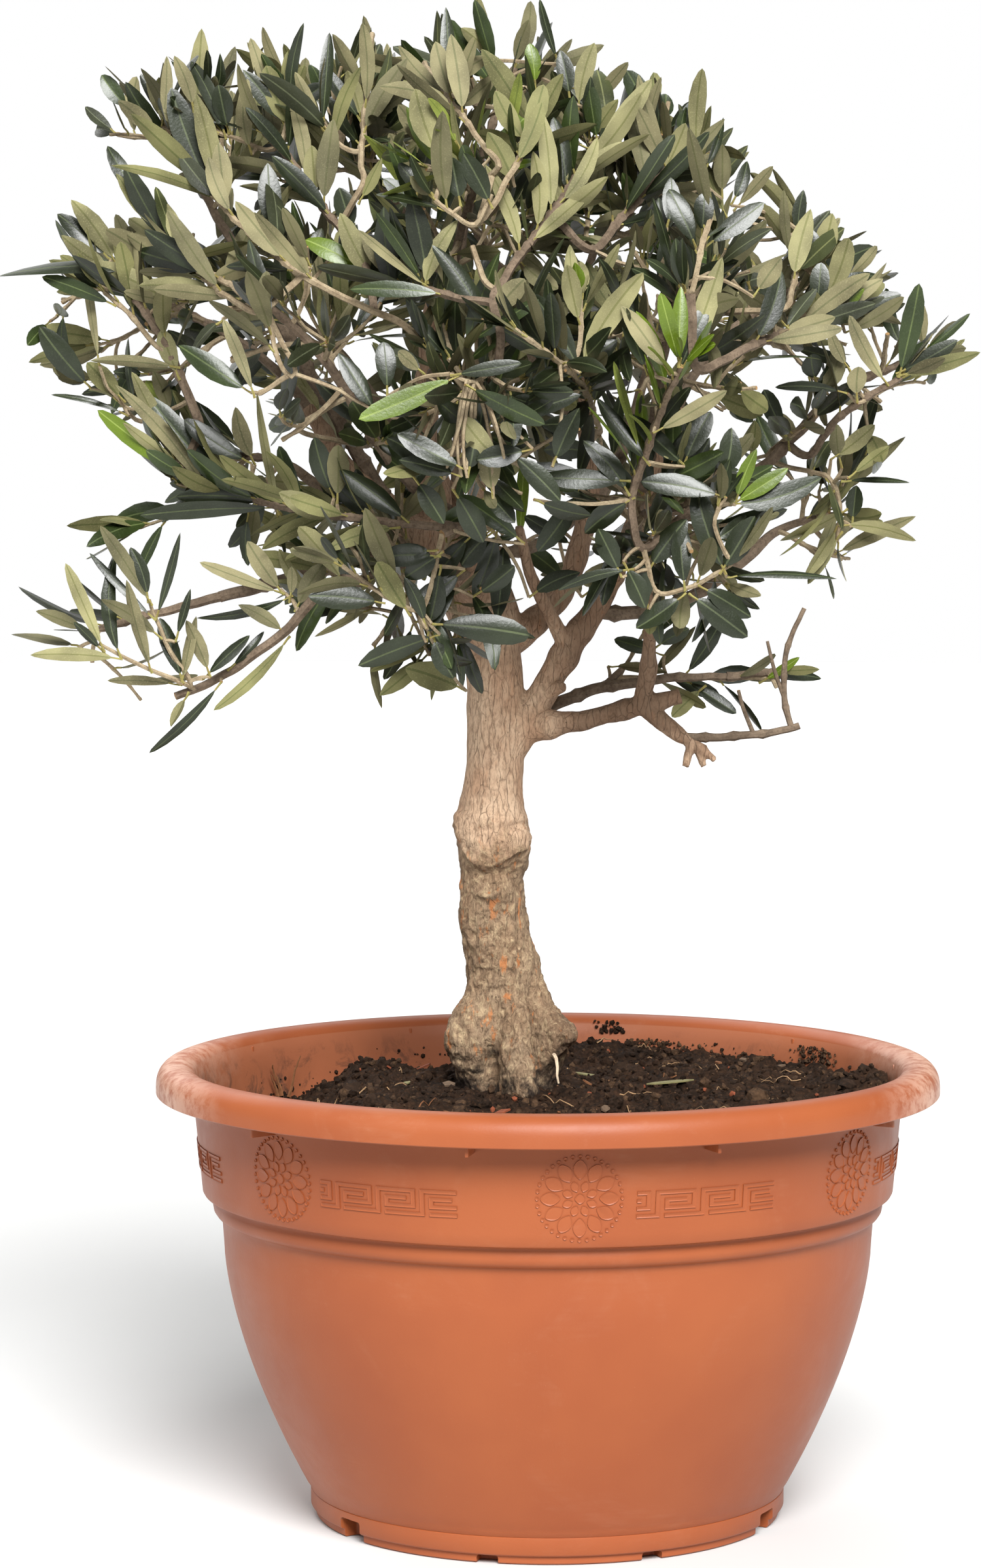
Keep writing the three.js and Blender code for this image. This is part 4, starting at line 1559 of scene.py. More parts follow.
    def _crumbs(self) -> bpy.types.Object:
        """Builds the loose crumbs and clods on the soil, against the wall and on the wall's back.

        Returns:
            All of them as one object.
        """
        s = self.sizes
        pile = Pile()
        small, large = self._template(1), self._template(2)
        for _ in range(s.crumbs):
            x, y = self._spot(3)
            size = 0.7 + 1.7 * self.random.random() ** 2
            centre = np.array((x, y, self.height(x, y) + 0.35 * size))
            self._lump(pile, small, centre, size, self.random.choice((0, 0, 1, 2)))
        for _ in range(s.clods):
            x, y = self._spot(7)
            size = 2.2 + 3.2 * self.random.random() ** 2
            centre = np.array((x, y, self.height(x, y) + 0.1 * size))
            self._lump(pile, large, centre, size, self.random.choice((0, 1, 1, 2)))
        for azimuth, spread, low, high, count, shade in WALL_DIRT:
            for _ in range(count):
                turn = azimuth + self.random.gauss(0, spread)
                z = mix(low, high, self.random.random() ** 1.6)
                size = 0.4 + 1.1 * self.random.random() ** 2
                radius = self.bowl.band_radius(z) - self.bowl.sizes.wall - 0.35 * size
                x, y = outward(turn)
                slot = self.random.choice(shade)
                self._lump(pile, small, np.array((x * radius, y * radius, z)), size, slot)
        shades = (
            SoilFinish(lightness=0.3).build("crumb_dark"),
            SoilFinish(dark=srgb(38, 28, 21), brown=srgb(72, 53, 40)).build("crumb_brown"),
            SoilFinish(dark=srgb(60, 45, 34), brown=srgb(106, 80, 58)).build("crumb_pale"),
        )
        return pile.piece("soil_crumbs", shades, 30)

    def _fibre(self, pile: Pile, at: Range, length: float, radius: float, slot: int,
               rise: float = 0.0) -> None:
        """Adds a thin root that wanders over the soil, or stands up from it.

        Args:
            pile: The pile that takes it.
            at: Where it starts, along X and Y.
            length: Its length.
            radius: Its radius where it starts.
            slot: Its material slot.
            rise: The share of its length that goes up.
        """
        x, y = at
        turn = self.random.random() * 2 * math.pi
        points = []
        steps = self.FIBRE_STEPS
        for i in range(steps + 1):
            share = i / steps
            turn += self.random.gauss(0, 0.28)
            x += length / steps * math.cos(turn) * (1 - rise)
            y += length / steps * math.sin(turn) * (1 - rise)
            lift = 1.2 + 2.2 * math.sin(math.pi * share) * self.random.random() + rise * length * share
            points.append((x, y, self.height(x, y) + lift))
        radii = radius * (1 - 0.7 * np.linspace(0, 1, steps + 1))
        pile.add_tube(np.array(points), radii, 5, slot, slot)

    def _chip(self, pile: Pile, x: float, y: float, size: float, slot: int) -> None:
        """Adds a flat splinter of bark that lies on the soil.

        Args:
            pile: The pile that takes it.
            x: Its place along X.
            y: Its place along Y.
            size: Its rough radius.
            slot: Its material slot.
        """
        corners = self.random.choice((4, 5, 6))
        tilt = unit(np.array((self.random.gauss(0, 0.35), self.random.gauss(0, 0.35), 1.0)))
        along = sideways(tilt, self.random.random() * 6.3)
        across = np.cross(tilt, along)
        centre = np.array((x, y, self.height(x, y) + 1.4))
        rim = []
        for k in range(corners):
            turn = 2 * math.pi * k / corners
            reach = size * self.random.uniform(0.6, 1.1)
            rim.append(reach * math.cos(turn) * along + 0.5 * reach * math.sin(turn) * across)
        self._add_plate(pile, centre + np.array(rim), 0.45 * tilt, slot)

    def _fallen_leaf(self, pile: Pile, x: float, y: float, length: float, turn: float) -> None:
        """Adds a leaf that lies on the soil.

        Args:
            pile: The pile that takes it.
            x: Its place along X.
            y: Its place along Y.
            length: Its length.
            turn: Where its tip points, in radians.
        """
        heading = np.array((math.cos(turn), math.sin(turn), 0.06))
        across = np.array((-math.sin(turn), math.cos(turn), 0.0))
        centre = np.array((x, y, self.height(x, y) + 2.0))
        rim = []
        for side in (1, -1):
            for share in np.linspace(0, 1, 7)[:-1]:
                ahead = side * (1 - 2 * share)
                out = side * 0.26 * math.sqrt(1 - ahead**2)
                rim.append(centre + 0.5 * length * (ahead * heading + out * across))
        self._add_plate(pile, np.array(rim), 0.3 * UP, self.LEAF)

    @staticmethod
    def _add_plate(pile: Pile, rim: np.ndarray, lift: np.ndarray, slot: int) -> None:
        """Adds a flat plate.

        Args:
            pile: The pile that takes it.
            rim: Its corners, anticlockwise as seen from its upper side.
            lift: Half its thickness, towards its upper side.
            slot: Its material slot.
        """
        pile.add(np.concatenate((rim - lift, rim + lift)), ring_faces(2, len(rim)), slot)

    def _bits(self) -> bpy.types.Object:
        """Builds the root fibres, chips and small stones in the soil.

        Returns:
            All of them as one object.
        """
        s = self.sizes
        pile = Pile()
        for _ in range(s.fibres):
            x, y = self._spot(24)
            slot = self.random.choice((self.PALE_ROOT, self.PALE_ROOT, self.BROWN_ROOT))
            length = self.random.uniform(10, 34)
            self._fibre(pile, (x, y), length, self.random.uniform(0.2, 0.42), slot)
        for x, y, length, radius in SPRIG_ROOTS:
            self._fibre(pile, (x, y), length, radius, self.BROWN_ROOT, rise=0.75)
        chip_slots = (self.BROWN_ROOT, self.BROWN_ROOT, self.GREY_CHIP, self.RED_BIT)
        for _ in range(s.chips):
            x, y = self._spot(10)
            self._chip(pile, x, y, self.random.uniform(1.6, 5.5), self.random.choice(chip_slots))
        radii = np.linspace(*HANGING_ROOT_RADII, len(HANGING_ROOT))
        pile.add_tube(np.array(HANGING_ROOT, float), radii, 6, self.WHITE_ROOT, self.WHITE_ROOT)
        for leaf in FALLEN_LEAVES:
            self._fallen_leaf(pile, *leaf)
        ball = self._template(1)
        for _ in range(s.stones):
            x, y = self._spot(10)
            centre = np.array((x, y, self.height(x, y) + 1.0))
            self._lump(pile, ball, centre, self.random.uniform(0.8, 1.7), self.RED_BIT)
        return pile.piece("soil_bits", [finish.build(name) for name, finish in self.BIT_FINISHES], 40)


# The shades that crumbs of wet and dry dirt take their turn in: 0 dark, 1 brown, 2 pale
WET, DRY = (0, 1), (1, 2, 2)
# Dirt on the inner wall: its side and spread in degrees, its heights, how many crumbs it has, their shades
WALL_DIRT = (
    (168.0, 1.3, 224.0, 230.0, 46, WET),
    (161.0, 2.6, 214.0, 221.0, 120, DRY),
    (126.0, 2.6, 216.0, 225.0, 130, DRY),
    (150.0, 6.0, 214.0, 221.0, 70, DRY),
    (110.0, 6.0, 212.0, 219.0, 50, DRY),
    (196.0, 8.0, 212.0, 218.0, 40, WET),
    (228.0, 8.0, 198.0, 208.0, 40, WET),
    (262.0, 8.0, 192.0, 200.0, 30, WET),
)
# Roots that stand up from the soil: their place along X and Y, length and radius
SPRIG_ROOTS = ((-140.0, 98.0, 26.0, 1.1), (-138.0, 99.0, 30.0, 0.9), (-142.0, 97.0, 19.0, 1.0))
HANGING_ROOT = ((3, -20, 238), (4, -27, 237), (4.6, -30, 233), (4.4, -31, 229), (5.2, -31, 225))
HANGING_ROOT_RADII = (1.1, 0.5)
# Leaves on the soil: their place along X and Y, their length, and where they point in radians
FALLEN_LEAVES = ((63.0, 4.0, 25.0, 0.2), (-74.0, 20.0, 14.0, 1.1), (22.0, 58.0, 18.0, 2.5))


@dataclass(frozen=True)
class Bough:
    """A limb that leaves another at a share of its length, and bends by bow on the way to its tip."""

    name: str
    parent: str
    at: float
    tip: Place
    bow: Place
    radii: tuple[float, float]


BOUGHS = (
    Bough("right_bough", "trunk", 0.585, (66, -8, 566), (8, 0, -3), (8.8, 3.6)),
    Bough("centre_bough", "trunk", 0.79, (16, 38, 592), (22, 0, -30), (7, 3.4)),
    Bough("leader_bough", "trunk", 1, (-58, -6, 620), (-6, 0, 0), (9, 3.4)),
    Bough("left_bough", "trunk", 0.93, (-122, -6, 566), (0, 0, -12), (8.5, 3.4)),
    Bough("back_bough", "trunk", 0.9, (-34, 84, 556), (0, 0, -14), (7.5, 3.4)),
    Bough("front_bough", "trunk", 0.86, (-46, -84, 530), (0, 0, -12), (6.5, 3.2)),
    Bough("right_low_bough", "right_bough", 0.1, (48, -26, 417), (0, 0, -2), (5.8, 4.6)),
    Bough("right_back_twig", "right_bough", 0.13, (92, 22, 428), (-8, 0, 6), (3.6, 1.9)),
    Bough("right_shoot", "right_low_bough", 0.97, (44, -58, 500), (6, 2, -2), (3.8, 2.6)),
    Bough("broken_stub", "right_low_bough", 0.98, (78, -30, 394), (-3, 0, 1), (3.8, 2.4)),
    Bough("bare_twig", "broken_stub", 0.7, (126, -30, 406), (4, 0, -2), (2.2, 1.8)),
    Bough("bare_twig_tip", "bare_twig", 0.93, (128, -32, 465), (-7, 0, 0), (1.6, 1.2)),
)
THIN_LIMBS = ("right_back_twig", "bare_twig", "bare_twig_tip")


@dataclass(frozen=True)
class Snag:
    """A broken or hidden side branch: where it leaves a limb, the points it runs to and its radii."""

    parent: str
    at: float
    points: tuple[Place, ...]
    radii: tuple[float, float]


SNAGS = (
    Snag("right_low_bough", 0.94, ((56, -26, 418), (66.6, -26, 421)), (4.9, 4.2)),
    Snag("broken_stub", 0.82, ((70, -31, 391), (68.8, -33, 385.4)), (2.6, 2.0)),
    Snag("broken_stub", 0.9, ((78, -28, 385.4),), (2.3, 1.6)),
    Snag("broken_stub", 0.97, ((83.5, -31, 388.7),), (2.2, 1.5)),
    Snag("right_bough", 0.33, ((-1, -14, 466), (-9, -18, 479), (-15, -28, 506)), (4.4, 2.4)),
    Snag("right_bough", 0.2, ((7.3, -13.5, 425),), (3.9, 3.4)),
    Snag(
        "trunk", 0.76, ((-11, 16, 446), (0, 20, 459), (9, 20, 474), (16, 22, 486), (26, 28, 514)), (4.4, 2.2)
    ),
)
THIN_SNAGS = (
    Snag("right_back_twig", 0.4, ((38, 15, 432),), (2.2, 1.7)),
    Snag("bare_twig_tip", 0.25, ((113, -31, 434), (109.6, -31, 448.5)), (1.2, 0.8)),
    Snag("bare_twig", 0.6, ((97, -33, 416), (95, -35, 424)), (1.2, 0.9)),
)


@dataclass(frozen=True)
class Mass:
    """A part of the crown that keeps to a ball, and grows from a limb at a share of its length."""

    name: str
    parent: str
    at: float
    centre: Place
    radius: float
    sag: float = 0.14
    shoots: int = 6

    @property
    def middle(self) -> np.ndarray:
        """The ball's middle."""
        return np.array(self.centre, float)

    @property
    def bough(self) -> str:
        """The limb whose tip its stem grows from."""
        return self.parent if self.at == 1 else self.name + "_bough"


MASSES = (
    Mass("crown_top", "leader_bough", 0.9, (-28, 5, 704), 76),
    Mass("crown_top_left", "leader_bough", 1, (-106, -22, 688), 74),
    Mass("crown_top_right", "centre_bough", 1, (48, 2, 676), 70),
    Mass("crown_upper_left", "left_bough", 0.35, (-174, -12, 674), 80, 0),
    Mass("crown_left", "left_bough", 1, (-200, -6, 612), 82),
    Mass("crown_left_low", "left_bough", 0.5, (-152, -30, 540), 64),
    Mass("hanging_left", "left_bough", 0.18, (-198, -52, 462), 74, 0.003, 1),
    Mass("crown_right", "right_bough", 1, (118, 8, 614), 68),
    Mass("crown_far_right", "right_bough", 0.72, (160, -22, 576), 64),
    Mass("crown_right_low", "right_bough", 0.45, (136, 14, 508), 56),
    Mass("front_top", "leader_bough", 0.55, (-42, -96, 650), 74),
    Mass("front_left", "front_bough", 0.8, (-122, -106, 596), 74),
    Mass("front_middle", "front_bough", 1, (-32, -144, 566), 72, shoots=9),
    Mass("front_right", "right_bough", 0.6, (58, -112, 602), 74, shoots=8),
    Mass("front_low_left", "front_bough", 0.4, (-74, -78, 482), 68, shoots=8),
    Mass("front_low_right", "right_shoot", 1, (60, -88, 510), 68, shoots=11),
    Mass("right_twig_leaves", "right_back_twig", 1, (112, 24, 430), 34, shoots=2),
    Mass("back_top", "centre_bough", 0.8, (-36, 100, 652), 76),
    Mass("back_left", "back_bough", 0.8, (-130, 102, 606), 78),
    Mass("back_middle", "back_bough", 1, (-36, 146, 580), 74),
    Mass("back_right", "centre_bough", 0.55, (62, 110, 600), 76),
    Mass("back_low_left", "back_bough", 0.4, (-98, 86, 518), 64),
    Mass("back_low_right", "back_bough", 0.3, (40, 92, 516), 64),
)


@dataclass(frozen=True)
class Limb:
    """A limb's line and its radius at both ends."""

    course: Course
    radii: tuple[float, float]
    taper: float = 0.8

    def radius(self, share: Values) -> Values:
        """The radius at a share of the length."""
        return mix(*self.radii, share**self.taper)


@dataclass(frozen=True)
class TrunkSizes:
    """The trunk's sizes. Heights are above its foot; sides are in degrees, 0 right and 270 in front."""

    foot: float = 210.0
    cut: float = 2.0
    height: float = 300.0
    shaft: float = 17.2
    neck: float = 14.4
    fork: float = 19.0
    fork_top: float = 15.0
    flare: float = 4.0
    line: tuple[Place, ...] = (
        (-19, 0, 0),
        (-20, 0, 50),
        (-27.5, 0, 92),
        (-28, 0, 150),
        (-26.5, 0, 200),
        (-29, 0, 235),
        (-40, 0, 270),
        (-56, 3, 300),
    )
    voxel: float = 1.1


@dataclass(frozen=True)
class Root:
    """A swelling of the flare: its side, and how fast it fades round, above and below its crest."""

    side: float
    width: float
    reach: float
    crest: float
    above: float
    below: float


ROOTS = (
    Root(196, 36, 14, 36, 20, 24),
    Root(281, 18, 22, 8, 34, 60),
    Root(332, 23, 17.5, 37, 15, 11),
    Root(8, 30, 11, 34, 15, 18),
    Root(75, 44, 12, 34, 17, 30),
    Root(135, 30, 11, 34, 17, 26),
)


@dataclass(frozen=True)
class Burl:
    """A swelling on the trunk, or a dent where swell is negative; side is None if it goes all round."""

    height: float
    side: float | None
    swell: float
    spread: float
    width: float = 45.0


BURLS = (
    Burl(143, None, 2.0, 12),
    Burl(147, 185, 2.4, 8, 35),
    Burl(133, 320, 2.5, 9),
    Burl(116, None, -1.4, 6),
    Burl(74, 350, 3.5, 13),
    Burl(144, 322, -2.4, 1.6, 28),
    Burl(152, 200, -2.0, 1.8, 30),
    Burl(120.5, 268, -3.0, 2.2, 42),
    Burl(111, 275, 2.6, 4.5, 34),
    Burl(134.5, 315, -1.4, 1.5, 35),
    Burl(60, 265, -1.5, 1.7, 42),
    Burl(186, 330, 1.8, 7, 24),
    Burl(98, 210, 1.4, 8, 20),
    Burl(84, 285, 1.2, 6, 18),
    Burl(26, 306, -9.0, 24, 8),
    Burl(20, 243, -6.0, 15, 10),
    Burl(50, 300, 2.2, 7, 22),
    Burl(60, 345, 2.4, 7, 25),
)


@dataclass(frozen=True)
class Lip:
    """The lip of grown-over bark across the front: steep below its path, with wrinkles under it."""

    path: tuple[tuple[float, float], ...] = (
        (172, 144), (200, 138), (226, 128), (252, 122), (280, 125), (308, 131), (330, 132), (356, 141),
    )
    height: float = 2.3
    fade: float = 6.5
    step: float = 1.2
    wrinkle: float = 0.9
    wrinkle_spacing: float = 4.5

    def swell(self, height: float, degrees: np.ndarray) -> np.ndarray:
        """Works out how far it stands out of the trunk.

        Args:
            height: The height above the foot.
            degrees: The directions asked for.

        Returns:
            How far it stands out in each.
        """
        sides, heights = zip(*self.path)
        away = height - np.interp(degrees, sides, heights)
        ends = smooth(degrees, sides[0], sides[0] + 45) * (1 - smooth(degrees, sides[-1] - 25, sides[-1]))
        lip = np.exp(-np.maximum(away, 0) / self.fade) * bump(np.minimum(away, 0), self.step)
        folds = np.cos(2 * np.pi * away / self.wrinkle_spacing) * bump(away + 9, 7)
        return ends * (self.height * lip + self.wrinkle * folds)


@dataclass(frozen=True)
class Knot:
    """A round knot on the trunk: a hollow inside rings of wrinkles."""

    height: float
    side: float
    radius: float
    depth: float


KNOTS = (Knot(115, 263, 4.6, 2.6), Knot(171, 300, 3.0, 1.2), Knot(88, 232, 3.2, 1.1), Knot(146, 95, 5.0, 2.2))


class Wood:
    """The trunk and the boughs: where each limb runs, and the joined, knotted body of all of them."""

    SWELL_EVERY = 31.0
    THICKEST = 4.6
    TIP_RADIUS = 2.8
    BRANCH_SHARE = 0.62
    TRUNK_SIDES = 96
    RING_STEP = 1.5
    KNOT_LEVER = 17.0
    SCALY_BELOW = (322.0, 346.0)
    FINE_ABOVE = 420.0
    FOLDS_AT = 350.0

    def __init__(self, sizes: TrunkSizes) -> None:
        """Works out the line of every limb.

        Args:
            sizes: The trunk's sizes.
        """
        self.sizes = sizes
        self.random = random.Random(5)
        heights = np.array([p[2] for p in sizes.line], float)
        across = np.array([p[:2] for p in sizes.line], float)
        self._line = (heights, across)
        points = [self.centre(h) for h in np.linspace(0, sizes.height, 61)]
        self.limbs = {"trunk": Limb(Course(np.array(points)), (17.0, 15.0))}
        for bough in BOUGHS:
            start = self.start(bough.parent, bough.at)
            course = Course.bowed(start, np.array(bough.tip, float), np.array(bough.bow, float))
            self.limbs[bough.name] = Limb(course, bough.radii)
        for mass in MASSES:
            if mass.at < 1:
                self._add_mass_bough(mass)

    def centre(self, height: float) -> np.ndarray:
        """Works out the trunk's middle, on a smooth curve through its line.

        Args:
            height: The height above its foot.

        Returns:
            The middle.
        """
        heights, across = self._line
        span = len(heights) - 1
        i = int(np.clip(np.searchsorted(heights, height) - 1, 0, span - 1))
        t = np.clip((height - heights[i]) / (heights[i + 1] - heights[i]), 0, 1)
        slopes = [(across[min(k + 1, span)] - across[max(k - 1, 0)]) for k in (i, i + 1)]
        runs = [(heights[min(k + 1, span)] - heights[max(k - 1, 0)]) for k in (i, i + 1)]
        step = heights[i + 1] - heights[i]
        m0, m1 = (s / r * step for s, r in zip(slopes, runs))
        a, b = across[i], across[i + 1]
        t2, t3 = t * t, t * t * t
        place = (2 * t3 - 3 * t2 + 1) * a + (t3 - 2 * t2 + t) * m0 + (3 * t2 - 2 * t3) * b + (t3 - t2) * m1
        return np.array((place[0], place[1], self.sizes.foot + height))

    def start(self, parent: str, at: float) -> np.ndarray:
        """Finds a point in the middle of a limb.

        Args:
            parent: The limb's name.
            at: The share of its length, or of its height for the trunk.

        Returns:
            The point.
        """
        if parent == "trunk":
            return self.centre(at * self.sizes.height)
        return self.limbs[parent].course.at(at)

    def _add_mass_bough(self, mass: Mass) -> None:
        """Adds the bough that carries a part of the crown.

        Args:
            mass: The part of the crown.
        """
        start = self.start(mass.parent, mass.at)
        tip = mass.middle + unit(start - mass.middle) * mass.radius * 0.5
        bow = -UP * mass.sag * np.linalg.norm(tip - start)
        thick = min(self.THICKEST, float(self.limbs[mass.parent].radius(mass.at)) * self.BRANCH_SHARE)
        self.limbs[mass.bough] = Limb(Course.bowed(start, tip, bow), (thick, self.TIP_RADIUS))

    def trunk_radius(self, height: float, degrees: np.ndarray) -> np.ndarray:
        """Works out the trunk's radius, with its roots, burls, lip and knots.

        Args:
            height: The height above its foot.
            degrees: The directions asked for.

        Returns:
            The radius in each.
        """
        s = self.sizes
        radius = mix(s.shaft, s.neck, smooth(height, 118, 185))
        radius = mix(radius, s.fork, smooth(height, 228, 252))
        radius = mix(radius, s.fork_top, smooth(height, 262, s.height))
        roots = []
        for root in ROOTS:
            rise = bump(height - root.crest, root.above if height > root.crest else root.below)
            roots.append(root.reach * bump(angle_between(degrees, root.side), root.width) * rise)
        radius = radius + s.flare * (1 - smooth(height, 30, 66)) + np.max(roots, axis=0)
        for burl in BURLS:
            around = 1.0 if burl.side is None else bump(angle_between(degrees, burl.side), burl.width)
            radius = radius + burl.swell * around * bump(height - burl.height, burl.spread)
        radius = radius + Lip().swell(height, degrees)
        for knot in KNOTS:
            aside = np.radians(angle_between(degrees, knot.side)) * self.KNOT_LEVER
            away = np.hypot(aside, height - knot.height) / knot.radius
            rings = 0.5 * np.cos(away * 5.2) * bump(away - 1.7, 0.9)
            radius = radius + knot.depth * (0.45 * bump(away - 1.45, 0.45) - bump(away, 0.8) + 0.4 * rings)
        return radius

    def build(self) -> list[bpy.types.Object]:
        """Builds the joined trunk and main boughs.

        Returns:
            The piece, dressed.
        """
        pile = Pile()
        self._add_trunk(pile)
        solid = [b for b in BOUGHS if b.name not in THIN_LIMBS]
        for bough in solid:
            self._add_bough(pile, self.limbs[bough.name])
        for snag in SNAGS:
            pile.add_tube(*self.snag_line(snag), 14)
        wood = pile.piece("trunk_and_boughs", (BarkFinish().build("olive_bark"),))
        apply_modifier(wood, "REMESH", mode="VOXEL", voxel_size=self.sizes.voxel * MM, use_smooth_shade=True)
        apply_modifier(wood, "SMOOTH", factor=0.5, iterations=2)
        self._roughen(wood)
        smooth_by_angle(wood, 70)
        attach(wood, BODY)
        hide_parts("trunk", *(b.name for b in solid))
        return [wood]

    def _add_trunk(self, pile: Pile) -> None:
        """Adds the trunk's rings to a pile.

        Args:
            pile: Receives the rings.
        """
        s = self.sizes
        sides = self.TRUNK_SIDES
        degrees = np.linspace(0, 360, sides, endpoint=False)
        ring = np.stack((np.cos(np.radians(degrees)), np.sin(np.radians(degrees)), np.zeros(sides)), axis=1)
        heights = np.arange(s.cut, s.height + 0.1, self.RING_STEP)
        rings = [self.centre(h) + ring * self.trunk_radius(h, degrees)[:, None] for h in heights]
        pile.add(np.concatenate(rings), ring_faces(len(rings), sides))

    def snag_line(self, snag: Snag) -> tuple[np.ndarray, np.ndarray]:
        """Works out the line of a side branch.

        Args:
            snag: The side branch.

        Returns:
            Its points, and its radius at each.
        """
        points = np.vstack((self.start(snag.parent, snag.at), np.array(snag.points, float)))
        line = Course(points).resampled(4 * len(snag.points)).points
        for _ in range(2):
            line[1:-1] = (line[:-2] + 2 * line[1:-1] + line[2:]) / 4
        return line, np.linspace(*snag.radii, len(line))

    def _add_bough(self, pile: Pile, limb: Limb) -> None:
        """Adds one main bough, with a collar where it leaves its parent and swellings along it.

        Args:
            pile: The pile that takes it.
            limb: Its line and its radii.
        """
        steps = max(12, int(limb.course.length / 2.2))
        shares = np.linspace(0, 1, steps + 1)
        points = np.array([limb.course.at(t) for t in shares])
        along = shares * limb.course.length
        radii = np.array([limb.radius(t) for t in shares])
        radii *= 1 + 0.35 * bump(along - 14, 12)
        spot = self.random.uniform(18, self.SWELL_EVERY)
        while spot < limb.course.length - 6:
            radii *= 1 + self.random.uniform(0.12, 0.26) * bump(along - spot, self.random.uniform(3, 5.5))
            spot += self.random.uniform(0.5, 1.3) * self.SWELL_EVERY
        wander = np.array([noise.noise_vector(Vector(p / 24)) for p in points])
        fade = (smooth(along, 4, 30) * smooth(limb.course.length - along, 0, 20))[:, None]
        pile.add_tube(points + 2.2 * wander * fade, radii, 20)

    def _roughen(self, wood: bpy.types.Object) -> None:
        """Moves the skin in and out: scales and furrows low down, shallow ripples above.

        Args:
            wood: The trunk and the boughs as one skin.
        """
        mesh = wood.data
        count = len(mesh.vertices)
        places = np.empty(count * 3)
        normals = np.empty(count * 3)
        mesh.vertices.foreach_get("co", places)
        mesh.vertices.foreach_get("normal", normals)
        places, normals = places.reshape(-1, 3), normals.reshape(-1, 3)
        moves = np.empty(count)
        for i, (x, y, z) in enumerate(places / MM):
            rough = 1 - smooth(z, *self.SCALY_BELOW)
            spot = Vector((x, y, z * 0.55))
            furrow = noise.ridged_multi_fractal(spot / 11, 0.9, 2.2, 3, 1.0, 2.0) - 1.0
            ripple = noise.fractal(spot / 6.5, 0.8, 2.1, 3)
            scales = noise.cell(Vector((x, y, z * 0.7)) / 3.4) - 0.5
            flakes = noise.fractal(spot / 2.6, 0.7, 2.1, 2)
            lumps = noise.fractal(spot / 15, 0.8, 2.1, 2)
            folds = noise.fractal(Vector((x, y, z * 2.6)) / 8, 0.8, 2.1, 2) * bump(z - self.FOLDS_AT, 16)
            low = -0.8 * furrow + 0.7 * ripple + 0.5 * scales + 0.55 * flakes + 1.1 * lumps
            high = 0.35 * ripple - 0.12 * furrow + 0.9 * lumps + 0.8 * folds
            fine = 0.55 if z > self.FINE_ABOVE else 1.0
            moves[i] = mix(high, low, rough) * fine
        places += normals * moves[:, None] * MM
        mesh.vertices.foreach_set("co", places.ravel())
        mesh.update()


@dataclass(frozen=True)
class LeafSizes:
    """The leaves' sizes and how they stand."""

    length: float = 37.0
    length_spread: float = 0.26
    width: float = 9.6
    width_spread: float = 0.2
    stalk: float = 4.6
    thickness: float = 0.6
    rib: float = 0.034
    spacing: float = 9.0
    splay: float = 0.76
    tip_splay: float = 0.4
    lift: float = 0.24
    roll: float = 0.5
    turned_over: float = 0.27
    missing: float = 0.14
    overhang: float = 9.0


@dataclass(frozen=True)
class Twig:
    """One kind of twig."""

    start_radius: float
    end_radius: float
    bare_share: float
    sides: int = 6


STEM = Twig(2.6, 1.6, 0.45, 7)
SHOOT = Twig(1.55, 0.95, 0.3)
SIDE = Twig(1.05, 0.7, 0.12, 5)


@dataclass(frozen=True)
class Sprig:
    """A twig that is seen on its own, by the pixels of the photograph that it runs through from its foot."""

    pixels: tuple[tuple[int, int], ...]
    radii: tuple[float, float] = (1.5, 1.0)
    cut: bool = False
    bare_share: float = 0.25
    depth: float | None = None


